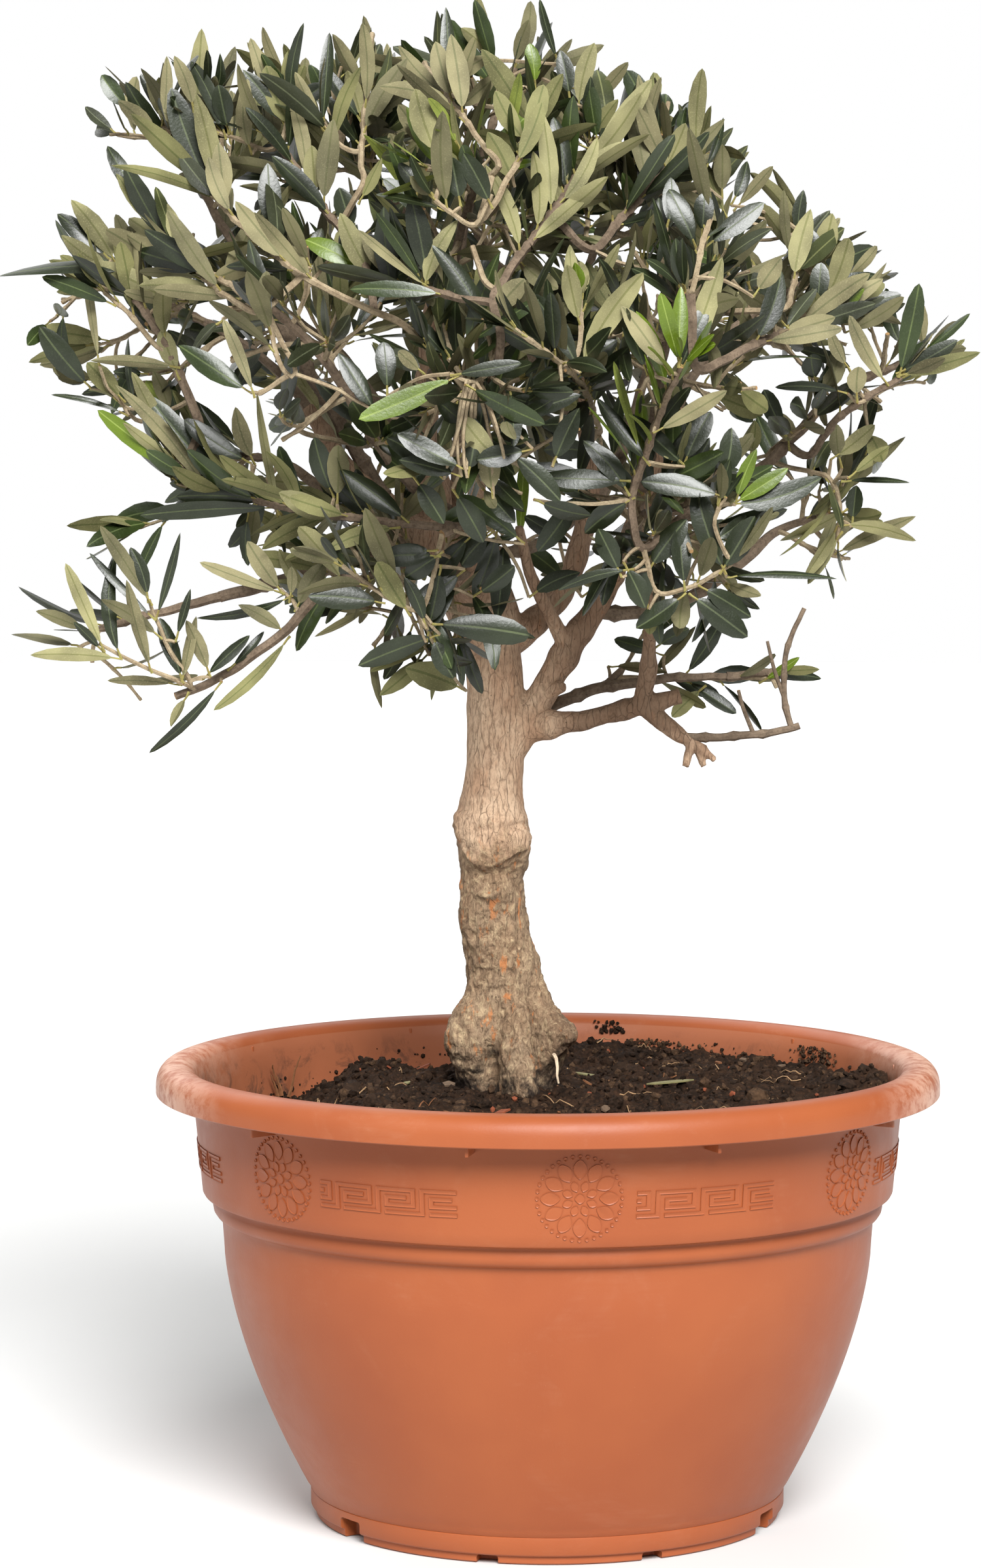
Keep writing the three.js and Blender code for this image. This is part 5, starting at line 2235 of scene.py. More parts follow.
SPRIGS = (
    Sprig(((612, 489), (541, 465), (464, 423), (398, 373), (336, 312), (315, 286)), (2.0, 1.3)),
    Sprig(((560, 400), (483, 303), (435, 233), (405, 201)), (2.1, 1.7), True),
    Sprig(((426, 236), (394, 226), (336, 204))),
    Sprig(((432, 223), (438, 198), (443, 159))),
    Sprig(((560, 281), (550, 249), (556, 191), (569, 51)), (1.7, 1.2), True),
    Sprig(((540, 242), (521, 223), (489, 188))),
    Sprig(((770, 258), (722, 198), (674, 134), (649, 96)), (1.7, 1.2), True),
    Sprig(((770, 172), (760, 128), (748, 64))),
    Sprig(((730, 354), (776, 274), (802, 230), (827, 163)), (1.8, 1.3), True),
    Sprig(((730, 354), (706, 341), (665, 306))),
    Sprig(((730, 348), (752, 297)), (1.4, 1.0), True, 1.0),
    Sprig(((768, 508), (749, 459), (786, 403), (844, 328), (904, 239), (930, 197)), (2.2, 1.9), True),
    Sprig(((749, 455), (719, 462), (651, 442), (612, 436)), (2.2, 1.6)),
    Sprig(((744, 446), (732, 408), (722, 376)), (1.6, 1.3), True, 1.0),
    Sprig(((904, 392), (952, 331), (1016, 267), (1057, 226)), (2.4, 2.0), True),
    Sprig(((1057, 458), (1073, 376), (1086, 334)), (1.6, 1.3), True),
    Sprig(((895, 379), (898, 331), (903, 283))),
    Sprig(((1207, 474), (1217, 411), (1229, 309)), (1.7, 1.3), True),
    Sprig(((1060, 576), (1149, 529), (1226, 499), (1312, 480)), (2.6, 1.5)),
    Sprig(((1236, 708), (1272, 645), (1322, 612), (1378, 576)), (2.2, 1.4)),
    Sprig(((1173, 692), (1226, 655), (1246, 635))),
    Sprig(((1199, 713), (1239, 725), (1272, 722), (1289, 775), (1279, 828))),
    Sprig(((977, 851), (962, 767), (985, 702), (1019, 610), (1042, 560)), (2.5, 1.4)),
    Sprig(((918, 661), (893, 590), (847, 547), (786, 504)), (1.8, 1.2)),
    Sprig(((881, 560), (890, 483), (887, 459))),
    Sprig(((752, 805), (632, 804), (516, 789), (424, 774), (335, 751), (275, 721)), (2.4, 1.3)),
    Sprig(((700, 806), (676, 817)), (2.8, 2.4), True, 1.0),
    Sprig(((649, 945), (579, 908), (523, 865))),
    Sprig(((398, 486), (345, 453), (292, 410), (262, 383)), (1.8, 1.2)),
    Sprig(((391, 466), (348, 433), (292, 399))),
    Sprig(((461, 585), (431, 579), (421, 532), (408, 489))),
    Sprig(((431, 579), (408, 598), (395, 602)), (1.4, 1.1)),
    Sprig(((315, 648), (298, 632), (252, 516), (206, 456)), (2.8, 1.9), True),
    Sprig(((245, 545), (216, 496), (159, 446))),
    Sprig(((212, 652), (199, 632), (182, 612))),
    Sprig(((508, 885), (438, 965), (368, 1018), (304, 1053), (268, 1065)), (2.9, 2.0), True, 1.0),
    Sprig(((301, 1051), (253, 1035), (186, 1006), (151, 984)), (1.4, 0.9), False, 1.0),
    Sprig(((301, 1050), (262, 1003), (237, 946), (228, 917)), (1.4, 0.9), False, 1.0),
    Sprig(((460, 933), (441, 914), (429, 901)), (1.3, 0.9), False, 1.0),
    Sprig(((1000, 916), (1073, 893), (1119, 862))),
    Sprig(((1085, 800), (1100, 774)), (1.3, 1.0)),
    Sprig(((443, 656), (549, 683), (592, 676))),
    Sprig(((725, 590), (703, 577), (688, 572)), (1.3, 0.9), False, 1.0),
    Sprig(((878, 1078), (912, 1050), (947, 1034), (1040, 1038), (1172, 1038)), (1.5, 1.0), False, 0.3, 24.0),
    Sprig(((947, 1034), (970, 992), (985, 969)), (1.2, 0.9), False, 0.2, 24.0),
)


class Look(Enum):
    """How a leaf that is seen on its own shows itself: its finish, and whether its underside is in front."""

    DARK = ("deep", False)
    GREEN = ("mid", False)
    FRESH = ("fresh", False)
    UNDER = ("grey", True)
    PALE = ("olive", True)


DARK, GREEN, FRESH, UNDER, PALE = Look

# Leaves seen on their own, by the pixels of the foot and of the tip, then the width in millimetres
SEEN_LEAVES = (
    (154, 984, 99, 860, 8, PALE), (180, 994, 126, 857, 9, DARK), (228, 1016, 185, 885, 9, UNDER),
    (173, 1006, 49, 987, 8, UNDER), (151, 990, 114, 949, 6, DARK), (260, 1045, 167, 1029, 6, UNDER),
    (276, 1032, 247, 943, 10, DARK), (280, 1035, 301, 943, 8, UNDER), (225, 914, 156, 801, 9, UNDER),
    (225, 908, 215, 834, 8, DARK), (242, 936, 282, 817, 5, DARK), (228, 939, 127, 849, 5, DARK),
    (272, 968, 293, 901, 5, DARK), (237, 968, 161, 901, 8, UNDER), (317, 1022, 290, 945, 9, UNDER),
    (320, 1029, 381, 968, 8, DARK), (358, 1016, 409, 971, 5, DARK), (330, 1054, 242, 1166, 6, DARK),
    (435, 984, 344, 1102, 7, UNDER), (282, 1070, 259, 1110, 7, PALE), (425, 898, 374, 831, 11, UNDER),
    (422, 904, 304, 863, 7, UNDER), (435, 917, 314, 973, 6, DARK), (445, 908, 452, 866, 6, UNDER),
    (457, 923, 489, 857, 11, UNDER), (429, 962, 371, 914, 8, UNDER), (378, 796, 365, 866, 7, DARK),
    (332, 734, 222, 605, 14, GREEN), (310, 740, 202, 569, 9, UNDER), (272, 721, 139, 625, 11, FRESH),
    (408, 777, 215, 774, 10, DARK), (424, 774, 384, 600, 7, UNDER), (455, 770, 440, 680, 9, UNDER),
    (688, 581, 552, 648, 12, FRESH), (703, 572, 798, 555, 8, DARK), (725, 596, 834, 658, 11, GREEN),
    (791, 822, 705, 746, 11, GREEN), (795, 822, 801, 703, 8, FRESH), (798, 835, 864, 876, 13, GREEN),
    (675, 955, 811, 961, 16, DARK), (758, 822, 735, 918, 12, DARK), (770, 835, 765, 950, 12, DARK),
    (745, 815, 692, 858, 11, DARK), (659, 975, 546, 1011, 13, DARK), (665, 980, 688, 1040, 12, DARK),
    (700, 1050, 622, 1011, 16, UNDER), (655, 968, 675, 892, 10, DARK), (575, 920, 473, 900, 14, DARK),
    (620, 930, 575, 860, 13, UNDER), (572, 428, 509, 333, 12, PALE), (545, 405, 466, 358, 12, FRESH),
    (651, 431, 670, 330, 10, PALE), (645, 430, 580, 325, 8, DARK), (605, 430, 585, 330, 11, DARK),
    (757, 477, 798, 422, 12, UNDER), (569, 621, 517, 538, 11, DARK), (892, 550, 958, 403, 14, PALE),
    (881, 557, 826, 437, 12, DARK), (1016, 560, 954, 465, 12, UNDER), (985, 560, 946, 459, 10, GREEN),
    (1038, 548, 1041, 436, 9, FRESH), (1048, 557, 1110, 395, 12, PALE), (885, 443, 882, 401, 9, FRESH),
    (690, 134, 681, 6, 9, DARK), (445, 159, 435, 38, 7, DARK), (494, 182, 504, 45, 8, DARK),
    (512, 207, 528, 96, 9, UNDER), (440, 188, 397, 105, 13, UNDER), (381, 223, 349, 131, 11, UNDER),
    (489, 188, 448, 112, 7, UNDER), (850, 85, 817, 3, 6, DARK), (818, 124, 815, 65, 9, FRESH),
    (885, 156, 892, 63, 11, UNDER), (914, 152, 957, 92, 9, UNDER), (901, 200, 898, 117, 8, DARK),
    (1064, 219, 1061, 100, 10, PALE), (1016, 251, 971, 159, 11, UNDER), (1131, 312, 1183, 253, 7, UNDER),
    (1089, 369, 1171, 309, 12, DARK), (1207, 385, 1186, 293, 6, UNDER), (1220, 353, 1220, 290, 8, DARK),
    (1378, 564, 1411, 435, 12, GREEN), (1383, 566, 1466, 526, 10, DARK), (1385, 572, 1499, 543, 9, UNDER),
    (1305, 503, 1388, 465, 9, UNDER), (1262, 493, 1317, 436, 10, FRESH), (1252, 493, 1252, 441, 9, UNDER),
    (1350, 579, 1285, 493, 9, UNDER), (1284, 785, 1196, 834, 13, PALE), (1297, 803, 1400, 798, 9, PALE),
    (1280, 824, 1229, 889, 8, PALE), (1282, 695, 1342, 655, 10, UNDER), (1128, 758, 1148, 684, 8, FRESH),
    (1125, 881, 1274, 863, 6, DARK), (1065, 916, 1146, 973, 14, DARK), (1038, 916, 977, 966, 13, DARK),
    (204, 412, 2, 383, 12, DARK), (130, 585, 53, 505, 15, DARK), (182, 605, 133, 552, 12, UNDER),
    (150, 545, 127, 405, 6, UNDER), (372, 593, 270, 528, 12, GREEN), (385, 595, 346, 485, 7, UNDER),
    (1172, 1038, 1224, 1008, 6, FRESH), (1069, 1057, 1023, 1096, 9, UNDER), (943, 1019, 1019, 1019, 9, UNDER),
    (250, 362, 187, 258, 12, DARK), (212, 300, 158, 226, 10, DARK), (242, 348, 170, 272, 8, UNDER),
    (172, 393, 125, 297, 12, PALE), (160, 388, 92, 323, 11, DARK), (165, 410, 88, 370, 10, UNDER),
    (245, 452, 133, 378, 13, PALE), (232, 398, 168, 343, 13, UNDER), (165, 462, 68, 414, 9, GREEN),
    (310, 275, 202, 171, 14, UNDER), (314, 276, 250, 139, 15, DARK), (332, 282, 308, 142, 12, UNDER),
    (332, 304, 188, 222, 7, UNDER), (192, 162, 150, 118, 10, GREEN), (236, 202, 185, 148, 10, UNDER),
    (250, 180, 263, 87, 7, UNDER), (294, 158, 281, 83, 9, UNDER), (342, 200, 305, 82, 9, DARK),
    (347, 192, 334, 130, 12, DARK), (416, 165, 388, 57, 8, UNDER), (430, 182, 378, 102, 11, DARK),
    (664, 228, 624, 140, 14, UNDER), (748, 78, 710, 38, 9, UNDER), (470, 396, 436, 316, 9, UNDER),
    (482, 290, 479, 222, 12, UNDER), (537, 348, 520, 286, 12, DARK), (555, 300, 586, 242, 9, UNDER),
    (416, 346, 407, 246, 13, DARK), (597, 436, 576, 308, 14, DARK), (640, 420, 582, 320, 8, GREEN),
    (652, 420, 636, 302, 13, DARK), (702, 302, 690, 240, 13, DARK), (747, 306, 712, 230, 12, DARK),
    (404, 486, 384, 424, 13, UNDER), (352, 455, 235, 436, 9, UNDER), (274, 460, 187, 455, 7, UNDER),
    (270, 568, 245, 506, 11, UNDER), (262, 560, 140, 538, 7, UNDER), (258, 625, 241, 564, 9, UNDER),
    (184, 630, 86, 586, 4, DARK), (205, 612, 179, 520, 4, DARK), (262, 690, 203, 565, 9, PALE),
    (268, 706, 185, 650, 8, UNDER), (372, 702, 276, 651, 12, DARK), (384, 698, 350, 627, 12, UNDER),
    (505, 748, 472, 672, 14, DARK), (516, 756, 520, 680, 13, UNDER), (615, 790, 522, 709, 13, DARK),
    (398, 765, 270, 742, 12, DARK), (598, 808, 492, 818, 10, UNDER), (604, 882, 555, 778, 13, UNDER),
    (660, 850, 572, 842, 13, DARK), (666, 852, 620, 884, 12, DARK), (648, 948, 630, 880, 8, DARK),
    (512, 787, 422, 766, 13, UNDER), (520, 882, 466, 795, 13, PALE), (592, 592, 590, 520, 11, DARK),
    (570, 650, 475, 590, 12, DARK), (668, 722, 600, 655, 13, DARK), (718, 716, 736, 640, 13, DARK),
    (752, 748, 742, 680, 12, UNDER), (870, 142, 862, 74, 10, DARK), (908, 206, 938, 148, 9, UNDER),
    (1012, 222, 956, 124, 9, UNDER), (990, 200, 997, 114, 6, UNDER), (1042, 202, 1040, 164, 6, GREEN),
    (1018, 258, 1054, 190, 11, UNDER), (866, 288, 860, 172, 11, DARK), (888, 222, 836, 196, 9, UNDER),
    (872, 276, 955, 220, 9, UNDER), (782, 272, 756, 198, 13, UNDER), (1060, 368, 1026, 284, 12, DARK),
    (1074, 352, 1078, 294, 11, DARK), (1106, 322, 1068, 246, 8, UNDER), (1104, 290, 1103, 218, 11, UNDER),
    (1082, 252, 1120, 180, 5, DARK), (1124, 302, 1153, 249, 8, DARK), (1138, 352, 1166, 308, 10, DARK),
    (1252, 402, 1277, 328, 13, UNDER), (1268, 448, 1308, 368, 13, UNDER), (1300, 420, 1347, 384, 7, UNDER),
    (1264, 432, 1349, 412, 6, DARK), (1243, 398, 1240, 348, 11, DARK), (1250, 462, 1256, 400, 11, DARK),
    (1160, 442, 1192, 394, 11, UNDER), (1182, 482, 1168, 414, 12, DARK), (1196, 492, 1140, 430, 11, UNDER),
    (1258, 596, 1303, 540, 12, UNDER), (1292, 556, 1258, 508, 8, UNDER), (1310, 602, 1307, 560, 11, UNDER),
    (1246, 578, 1234, 544, 12, DARK), (1282, 598, 1190, 574, 6, DARK), (1206, 676, 1200, 626, 12, UNDER),
    (1196, 656, 1164, 598, 11, DARK), (1284, 702, 1272, 650, 9, UNDER), (1308, 722, 1358, 680, 7, UNDER),
    (1300, 735, 1390, 729, 5, DARK), (1304, 792, 1309, 742, 10, DARK), (1108, 722, 1132, 658, 13, DARK),
    (1148, 692, 1160, 645, 10, UNDER), (1096, 756, 986, 722, 13, DARK), (1130, 770, 1260, 766, 14, DARK),
    (1130, 765, 1207, 718, 9, FRESH), (1104, 866, 1046, 750, 14, DARK), (1108, 866, 1156, 790, 14, DARK),
    (1046, 890, 1034, 800, 12, DARK), (998, 862, 1044, 790, 14, DARK), (958, 768, 886, 808, 13, DARK),
    (956, 746, 908, 662, 12, DARK), (984, 700, 906, 606, 9, DARK), (1012, 655, 1115, 600, 9, UNDER),
    (892, 726, 806, 716, 10, DARK), (1080, 902, 1156, 945, 12, DARK), (1010, 985, 1050, 956, 10, GREEN),
    (1003, 998, 940, 975, 9, GREEN), (988, 918, 970, 862, 14, DARK), (955, 872, 850, 882, 6, DARK),
    (700, 712, 605, 668, 12, DARK), (692, 724, 612, 697, 10, DARK), (640, 740, 682, 800, 12, DARK),
    (745, 820, 698, 856, 13, DARK), (712, 828, 652, 888, 12, DARK), (672, 878, 662, 950, 12, DARK),
    (655, 842, 578, 845, 12, DARK), (790, 700, 862, 760, 12, DARK), (905, 690, 832, 680, 12, DARK),
    (900, 652, 830, 640, 11, DARK), (800, 690, 730, 706, 12, DARK), (950, 735, 812, 728, 12, DARK),
    (700, 760, 745, 830, 13, DARK), (730, 770, 668, 815, 12, GREEN), (830, 770, 900, 800, 12, DARK),
    (870, 830, 800, 790, 12, DARK), (880, 760, 835, 850, 13, DARK), (945, 870, 915, 808, 12, DARK),
    (960, 872, 990, 928, 12, DARK), (1040, 705, 960, 640, 13, DARK), (1050, 700, 1080, 625, 12, DARK),
    (700, 880, 640, 930, 12, DARK), (735, 905, 790, 870, 11, DARK), (820, 905, 878, 862, 11, DARK),
    (900, 905, 948, 868, 11, DARK), (760, 700, 700, 650, 12, UNDER), (850, 700, 880, 622, 12, DARK),
)


# Sky that shows through the crown or beside it, by the pixel of its middle and its radius in pixels
SKY_SPOTS = (
    (40, 230, 90), (115, 235, 40), (50, 455, 34), (165, 480, 26), (318, 478, 12), (200, 520, 20),
    (312, 592, 22), (262, 555, 12), (60, 690, 70), (140, 715, 50), (215, 735, 22), (300, 838, 46),
    (385, 885, 22), (462, 690, 20), (545, 560, 12), (575, 720, 14), (395, 700, 12), (232, 250, 16),
    (372, 292, 14), (330, 540, 14), (150, 560, 12), (120, 1105, 80), (225, 1130, 44), (45, 1050, 60),
    (640, 1112, 44), (520, 1010, 40), (470, 1080, 60), (1410, 950, 120), (1232, 955, 52), (1458, 690, 66),
    (1345, 760, 22), (1160, 870, 14), (1215, 690, 16), (1082, 640, 16), (1330, 525, 18), (1240, 562, 10),
    (1178, 382, 16), (990, 432, 14), (1120, 300, 12), (945, 925, 30), (905, 1005, 26), (1250, 1075, 40),
    (1130, 990, 22), (900, 735, 14), (868, 800, 14), (1180, 590, 12), (1410, 340, 70), (1318, 285, 48),
    (1235, 215, 56), (1158, 145, 52), (1085, 90, 40), (990, 45, 48), (1470, 400, 60), (900, 5, 40),
    (760, -10, 22), (612, 22, 30), (470, 8, 26), (345, 28, 34), (215, 30, 56), (645, 20, 18), (705, 8, 10),
    (765, 14, 24), (470, 58, 18), (868, 26, 20), (925, 46, 22), (1020, 58, 26), (110, 130, 28),
    (1455, 640, 40), (1370, 880, 60), (560, -10, 26), (420, 30, 30), (528, 42, 16), (318, 330, 18),
    (285, 320, 14), (470, 505, 16), (340, 615, 22), (395, 640, 14), (1180, 840, 22), (1075, 590, 18),
    (1110, 655, 16), (1205, 560, 16), (1290, 640, 18), (1330, 560, 20), (1390, 620, 30),
)


class Crown:
    """The twigs, leaf stalks and leaves that carry the boughs on to the crown's outline."""

    STATIONS = (0.07, 0.22, 0.41, 0.61, 0.81, 0.95)
    FINISHES = (
        LeafFinish("deep", srgb(30, 37, 17), srgb(98, 94, 66), srgb(66, 74, 46), srgb(84, 83, 52)),
        LeafFinish("grey", srgb(46, 50, 31), srgb(122, 116, 84), srgb(84, 89, 64), srgb(98, 97, 65)),
        LeafFinish("mid", srgb(40, 52, 18), srgb(112, 110, 70), srgb(76, 88, 46), srgb(89, 92, 51)),
        LeafFinish("olive", srgb(58, 63, 34), srgb(130, 126, 88), srgb(99, 102, 62), srgb(108, 107, 66)),
        LeafFinish("fresh", srgb(84, 103, 18), srgb(126, 136, 60), srgb(116, 132, 58), srgb(106, 118, 50)),
    )
    SHARES = (("deep", 0.32), ("grey", 0.24), ("mid", 0.25), ("olive", 0.18), ("fresh", 0.01))
    LOW_SHARES = (("deep", 0.5), ("mid", 0.3), ("grey", 0.12), ("olive", 0.07), ("fresh", 0.01))
    LOW_BELOW = 590.0
    INSET = 16.0
    CLEAR = 4.0
    CELL = 8.0
    NEAR = 2.6
    SKY_MARGIN = 10.0
    LIMB_ROOM = 1.6
    SMALLEST_SHARE = 0.55
    LINE_SHARES = np.linspace(0.12, 1, 7)
    TRIES = 3
    SHOOT_SPREAD = 0.84
    SHORTEST_SHOOT = 9.0
    SHORTEST_SIDE = 14.0
    SEEN_WIDTH = 0.9
    UNDER_TINTS = ("olive", "grey", "grey", "mid", "deep")
    SWELL_EVERY = 19.0
    SPRIG_SEED = 7000

    def __init__(self, wood: Wood, sizes: LeafSizes, view: PhotoView) -> None:
        """Keeps the limbs that the crown grows from and starts the piles.

        Args:
            wood: The trunk and boughs.
            sizes: The leaves' sizes.
            view: The photograph's view.
        """
        self.wood = wood
        self.sizes = sizes
        self.view = view
        self.old = Pile()
        self.young = Pile()
        self.stalks = Pile()
        self.leaves = {f.name: Pile() for f in self.FINISHES}
        self.count = 0
        self.taken: dict[tuple[int, int, int], list[np.ndarray]] = {}
        self.balls = np.array([(*m.centre, m.radius) for m in MASSES], float)
        skins = []
        for limb in wood.limbs.values():
            for t in np.linspace(0, 1, 24):
                skins.append((*limb.course.at(t), float(limb.radius(t))))
        self.skins = np.array(skins)
        self.stems = {mass.name: self._stem(mass) for mass in MASSES}
        lines = [stem.resampled(20).points for stem in self.stems.values()]
        self.carriers = np.vstack([self.skins[:, :3], *lines])
        self.shown = np.empty((0, 3))
        self.faces, self.slots = self._leaf_faces()

    def depth(self, point: np.ndarray) -> float:
        """How far inside the crown's outline a point lies; negative outside it."""
        return float(np.max(self.balls[:, 3] - np.linalg.norm(self.balls[:, :3] - point, axis=1)))

    @staticmethod
    def room(mass: Mass, point: np.ndarray) -> float:
        """Works out how far inside its own part of the crown a point lies.

        Args:
            mass: The part.
            point: The point.

        Returns:
            How far the nearest bound is, be it the outline or the flat bound to a neighbour.
        """
        room = mass.radius - np.linalg.norm(point - mass.middle)
        own = np.dot(point - mass.middle, point - mass.middle) - mass.radius**2
        for other in MASSES:
            if other is mass:
                continue
            theirs = np.dot(point - other.middle, point - other.middle) - other.radius**2
            room = min(room, (theirs - own) / (2 * np.linalg.norm(mass.middle - other.middle)) - 0.3)
        return float(room)

    def furthest(self, mass: Mass, direction: np.ndarray, margin: float) -> np.ndarray:
        """Finds how far a mass can be filled in a direction.

        Args:
            mass: The part of the crown.
            direction: The direction from its middle.
            margin: The room that is left for leaves.

        Returns:
            The furthest point.
        """
        margin = min(margin, 0.9 * self.room(mass, mass.middle))
        reach = mass.radius - margin
        while reach > 0 and self.room(mass, mass.middle + reach * direction) < margin:
            reach -= 2
        return mass.middle + reach * direction

    def _stem(self, mass: Mass) -> Course:
        """Works out the stem that carries a mass on from the tip of its bough.

        Args:
            mass: The part of the crown.

        Returns:
            The stem's line.
        """
        course = self.wood.limbs[mass.bough].course
        start = course.at(1)
        end = mix(mass.middle, self.furthest(mass, unit(mass.middle - start), 30.0), 0.75)
        return Course.through(start, start + course.heading(1) * np.linalg.norm(end - start) * 0.4, end)

    def _leaf_faces(self) -> tuple[list[tuple[int, ...]], list[int]]:
        """Lists the faces of one leaf.

        Returns:
            The faces, and their material slots: 0 upper, 1 under, 2 upper rib, 3 under rib.
        """
        rows, top = len(self.STATIONS), 6
        row = top + 2
        tip = 1 + rows * row
        above = [0, 1, 2, 3, 4, 5]
        below = [0, 6, 7, 5]
        faces, slots = [], []

        def strip(columns: list[int], kinds: list[int], flip: bool) -> None:
            """Adds the faces between neighbouring columns from the stalk to the tip.

            Args:
                columns: The columns, in order across the leaf.
                kinds: The material slot of each gap between them.
                flip: Whether the faces look down.
            """
            for a, b, kind in zip(columns, columns[1:], kinds):
                runs = [(0, 1 + b, 1 + a)]
                for i in range(rows - 1):
                    base, ahead = 1 + i * row, 1 + (i + 1) * row
                    runs.append((base + a, base + b, ahead + b, ahead + a))
                base = 1 + (rows - 1) * row
                runs.append((base + a, base + b, tip))
                for run in runs:
                    faces.append(tuple(reversed(run)) if flip else run)
                    slots.append(kind)

        strip(above, [0, 0, 2, 0, 0], False)
        strip(below, [1, 3, 1], True)
        return faces, slots

    def _leaf_points(self, rng: random.Random, length: float, width: float) -> np.ndarray:
        """Shapes one leaf: pointed, folded along its rib, rolled at its edges, bent and twisted.

        Args:
            rng: The run of random numbers.
            length: Its length.
            width: Its greatest width.

        Returns:
            Its points: X to its tip, Y across it and Z up from its upper side.
        """
        s = self.sizes
        foot_power, power = 0.76, rng.uniform(0.55, 0.85)
        fold = rng.uniform(0.05, 0.34)
        roll = rng.uniform(0.1, 0.34)
        bend = rng.uniform(-0.1, 0.5)
        sweep = rng.gauss(0, 0.12)
        twist = rng.gauss(0, 0.28)
        whole = foot_power + power
        peak = (foot_power / whole) ** foot_power * (power / whole) ** power
        points = [(0.0, 0.0, -s.thickness / 2)]
        for v in self.STATIONS:
            half = width / 2 * v**foot_power * (1 - v) ** power / peak
            rib = min(s.rib * width, 0.45 * half)
            fade = math.sin(math.pi * min(1.0, v * 1.1)) ** 0.5 if v < 0.9 else 0.5
            row = []
            for y in (-half, -half / 2, -rib, rib, half / 2, half):
                share = abs(y) / max(half, 1e-6)
                z = fold * abs(y) - roll * half * share**2.4
                row.append((y, z))
            thick = s.thickness * fade
            row += [(-rib * 1.3, -thick), (rib * 1.3, -thick)]
            turn = twist * v
            c, sn = math.cos(turn), math.sin(turn)
            for y, z in row:
                points.append((v * length, y * c - z * sn, y * sn + z * c))
        points.append((length, 0.0, -0.1))
        made = np.array(points)
        x = made[:, 0] / length
        made[:, 1] += sweep * length * x**2
        angle = bend * x
        drop = length * (1 - np.cos(angle)) / max(abs(bend), 0.02) * np.sign(bend) if abs(bend) > 0.02 else 0
        made[:, 0] = made[:, 0] - 0.5 * length * x * angle**2 / 3
        made[:, 2] -= drop * 0.9
        return made

    def in_the_sky(self, points: np.ndarray) -> bool:
        """Tells whether points would show against sky that the photograph leaves open.

        Args:
            points: The points, one a row.

        Returns:
            True if any of them would.
        """
        across, down = self.view.pixels(points)
        spots = np.array(SKY_SPOTS)
        away = np.hypot(across[:, None] - spots[:, 0], down[:, None] - spots[:, 1])
        return bool((away < spots[:, 2] + self.SKY_MARGIN).any())

    def _blocked(self, line: np.ndarray, skip_from: int) -> bool:
        """Tells whether something is in a leaf's way.

        Args:
            line: Points along its middle.
            skip_from: The first of them that other leaves are kept from.

        Returns:
            True if it meets a limb or a leaf, or would hide a leaf or twig that is seen on its own.
        """
        away = np.linalg.norm(line[:, None, :] - self.skins[None, :, :3], axis=2) - self.skins[None, :, 3]
        if away.min() < self.LIMB_ROOM:
            return True
        for point in line[skip_from:]:
            x, y, z = (int(c // self.CELL) for c in point)
            for dx, dy, dz in product((-1, 0, 1), repeat=3):
                others = self.taken.get((x + dx, y + dy, z + dz), ())
                if any(np.abs(other - point).max() < self.NEAR for other in others):
                    return True
        if not len(self.shown):
            return False
        aside = line[:, None, ::2] - self.shown[None, :, ::2]
        before = line[:, None, 1] < self.shown[None, :, 1]
        return bool((before & (np.hypot(aside[..., 0], aside[..., 1]) < self.CLEAR)).any())

    def add_leaf(self, rng: random.Random, node: np.ndarray, direction: np.ndarray, up: np.ndarray,
                 scale: float, tint: str, free: bool = False) -> bool:
        """Adds one leaf with its stalk, if there is room for it.

        Args:
            rng: The run of random numbers.
            node: Where its stalk leaves the twig.
            direction: Where its tip points.
            up: Where its upper side faces, roughly.
            scale: Its size.
            tint: The name of its finish.
            free: Whether it may pass the crown's outline.

        Returns:
            Whether it was added.
        """
        s = self.sizes
        length = s.length * scale * (1 + s.length_spread * rng.uniform(-1, 1))
        width = s.width * math.sqrt(scale) * (1 + s.width_spread * rng.uniform(-1, 1))
        base = node + direction * s.stalk + UP * 0.3
        shrink = 1.0
        while shrink > self.SMALLEST_SHARE:
            tip = base + direction * length * shrink
            if free or self.depth(tip) > -s.overhang:
                break
            shrink -= 0.12
        if shrink <= self.SMALLEST_SHARE:
            return False
        line = base + np.outer(self.LINE_SHARES, direction) * length * shrink
        if self.in_the_sky(line) or (not free and self._blocked(line, 2)):
            return False
        self._lay_leaf(rng, node, base, direction * length * shrink, up, width * math.sqrt(shrink), tint)
        return True

    def _lay_leaf(self, rng: random.Random, node: np.ndarray, base: np.ndarray, reach: np.ndarray,
                  up: np.ndarray, width: float, tint: str) -> None:
        """Adds a blade and its stalk to the piles.

        Args:
            rng: The run of random numbers.
            node: Where the stalk leaves the twig.
            base: Where the blade starts.
            reach: From there to its tip.
            up: Where its upper side faces, roughly.
            width: Its width.
            tint: The name of its finish.
        """
        direction = unit(reach)
        side = unit(np.cross(up, direction))
        up = np.cross(direction, side)
        for point in base + np.outer(self.LINE_SHARES, reach):
            self.taken.setdefault(tuple(int(c // self.CELL) for c in point), []).append(point)
        local = self._leaf_points(rng, float(np.linalg.norm(reach)), width)
        made = base + local[:, :1] * direction + local[:, 1:2] * side + local[:, 2:] * up
        self.leaves[tint].add(made, self.faces, self.slots)
        stalk = np.array((node, (node + base) / 2 - up * 0.5, base + direction * 0.8))
        self.stalks.add_tube(stalk, np.array((0.75, 0.55, 0.5)), 4, 0, 0)
        self.count += 1

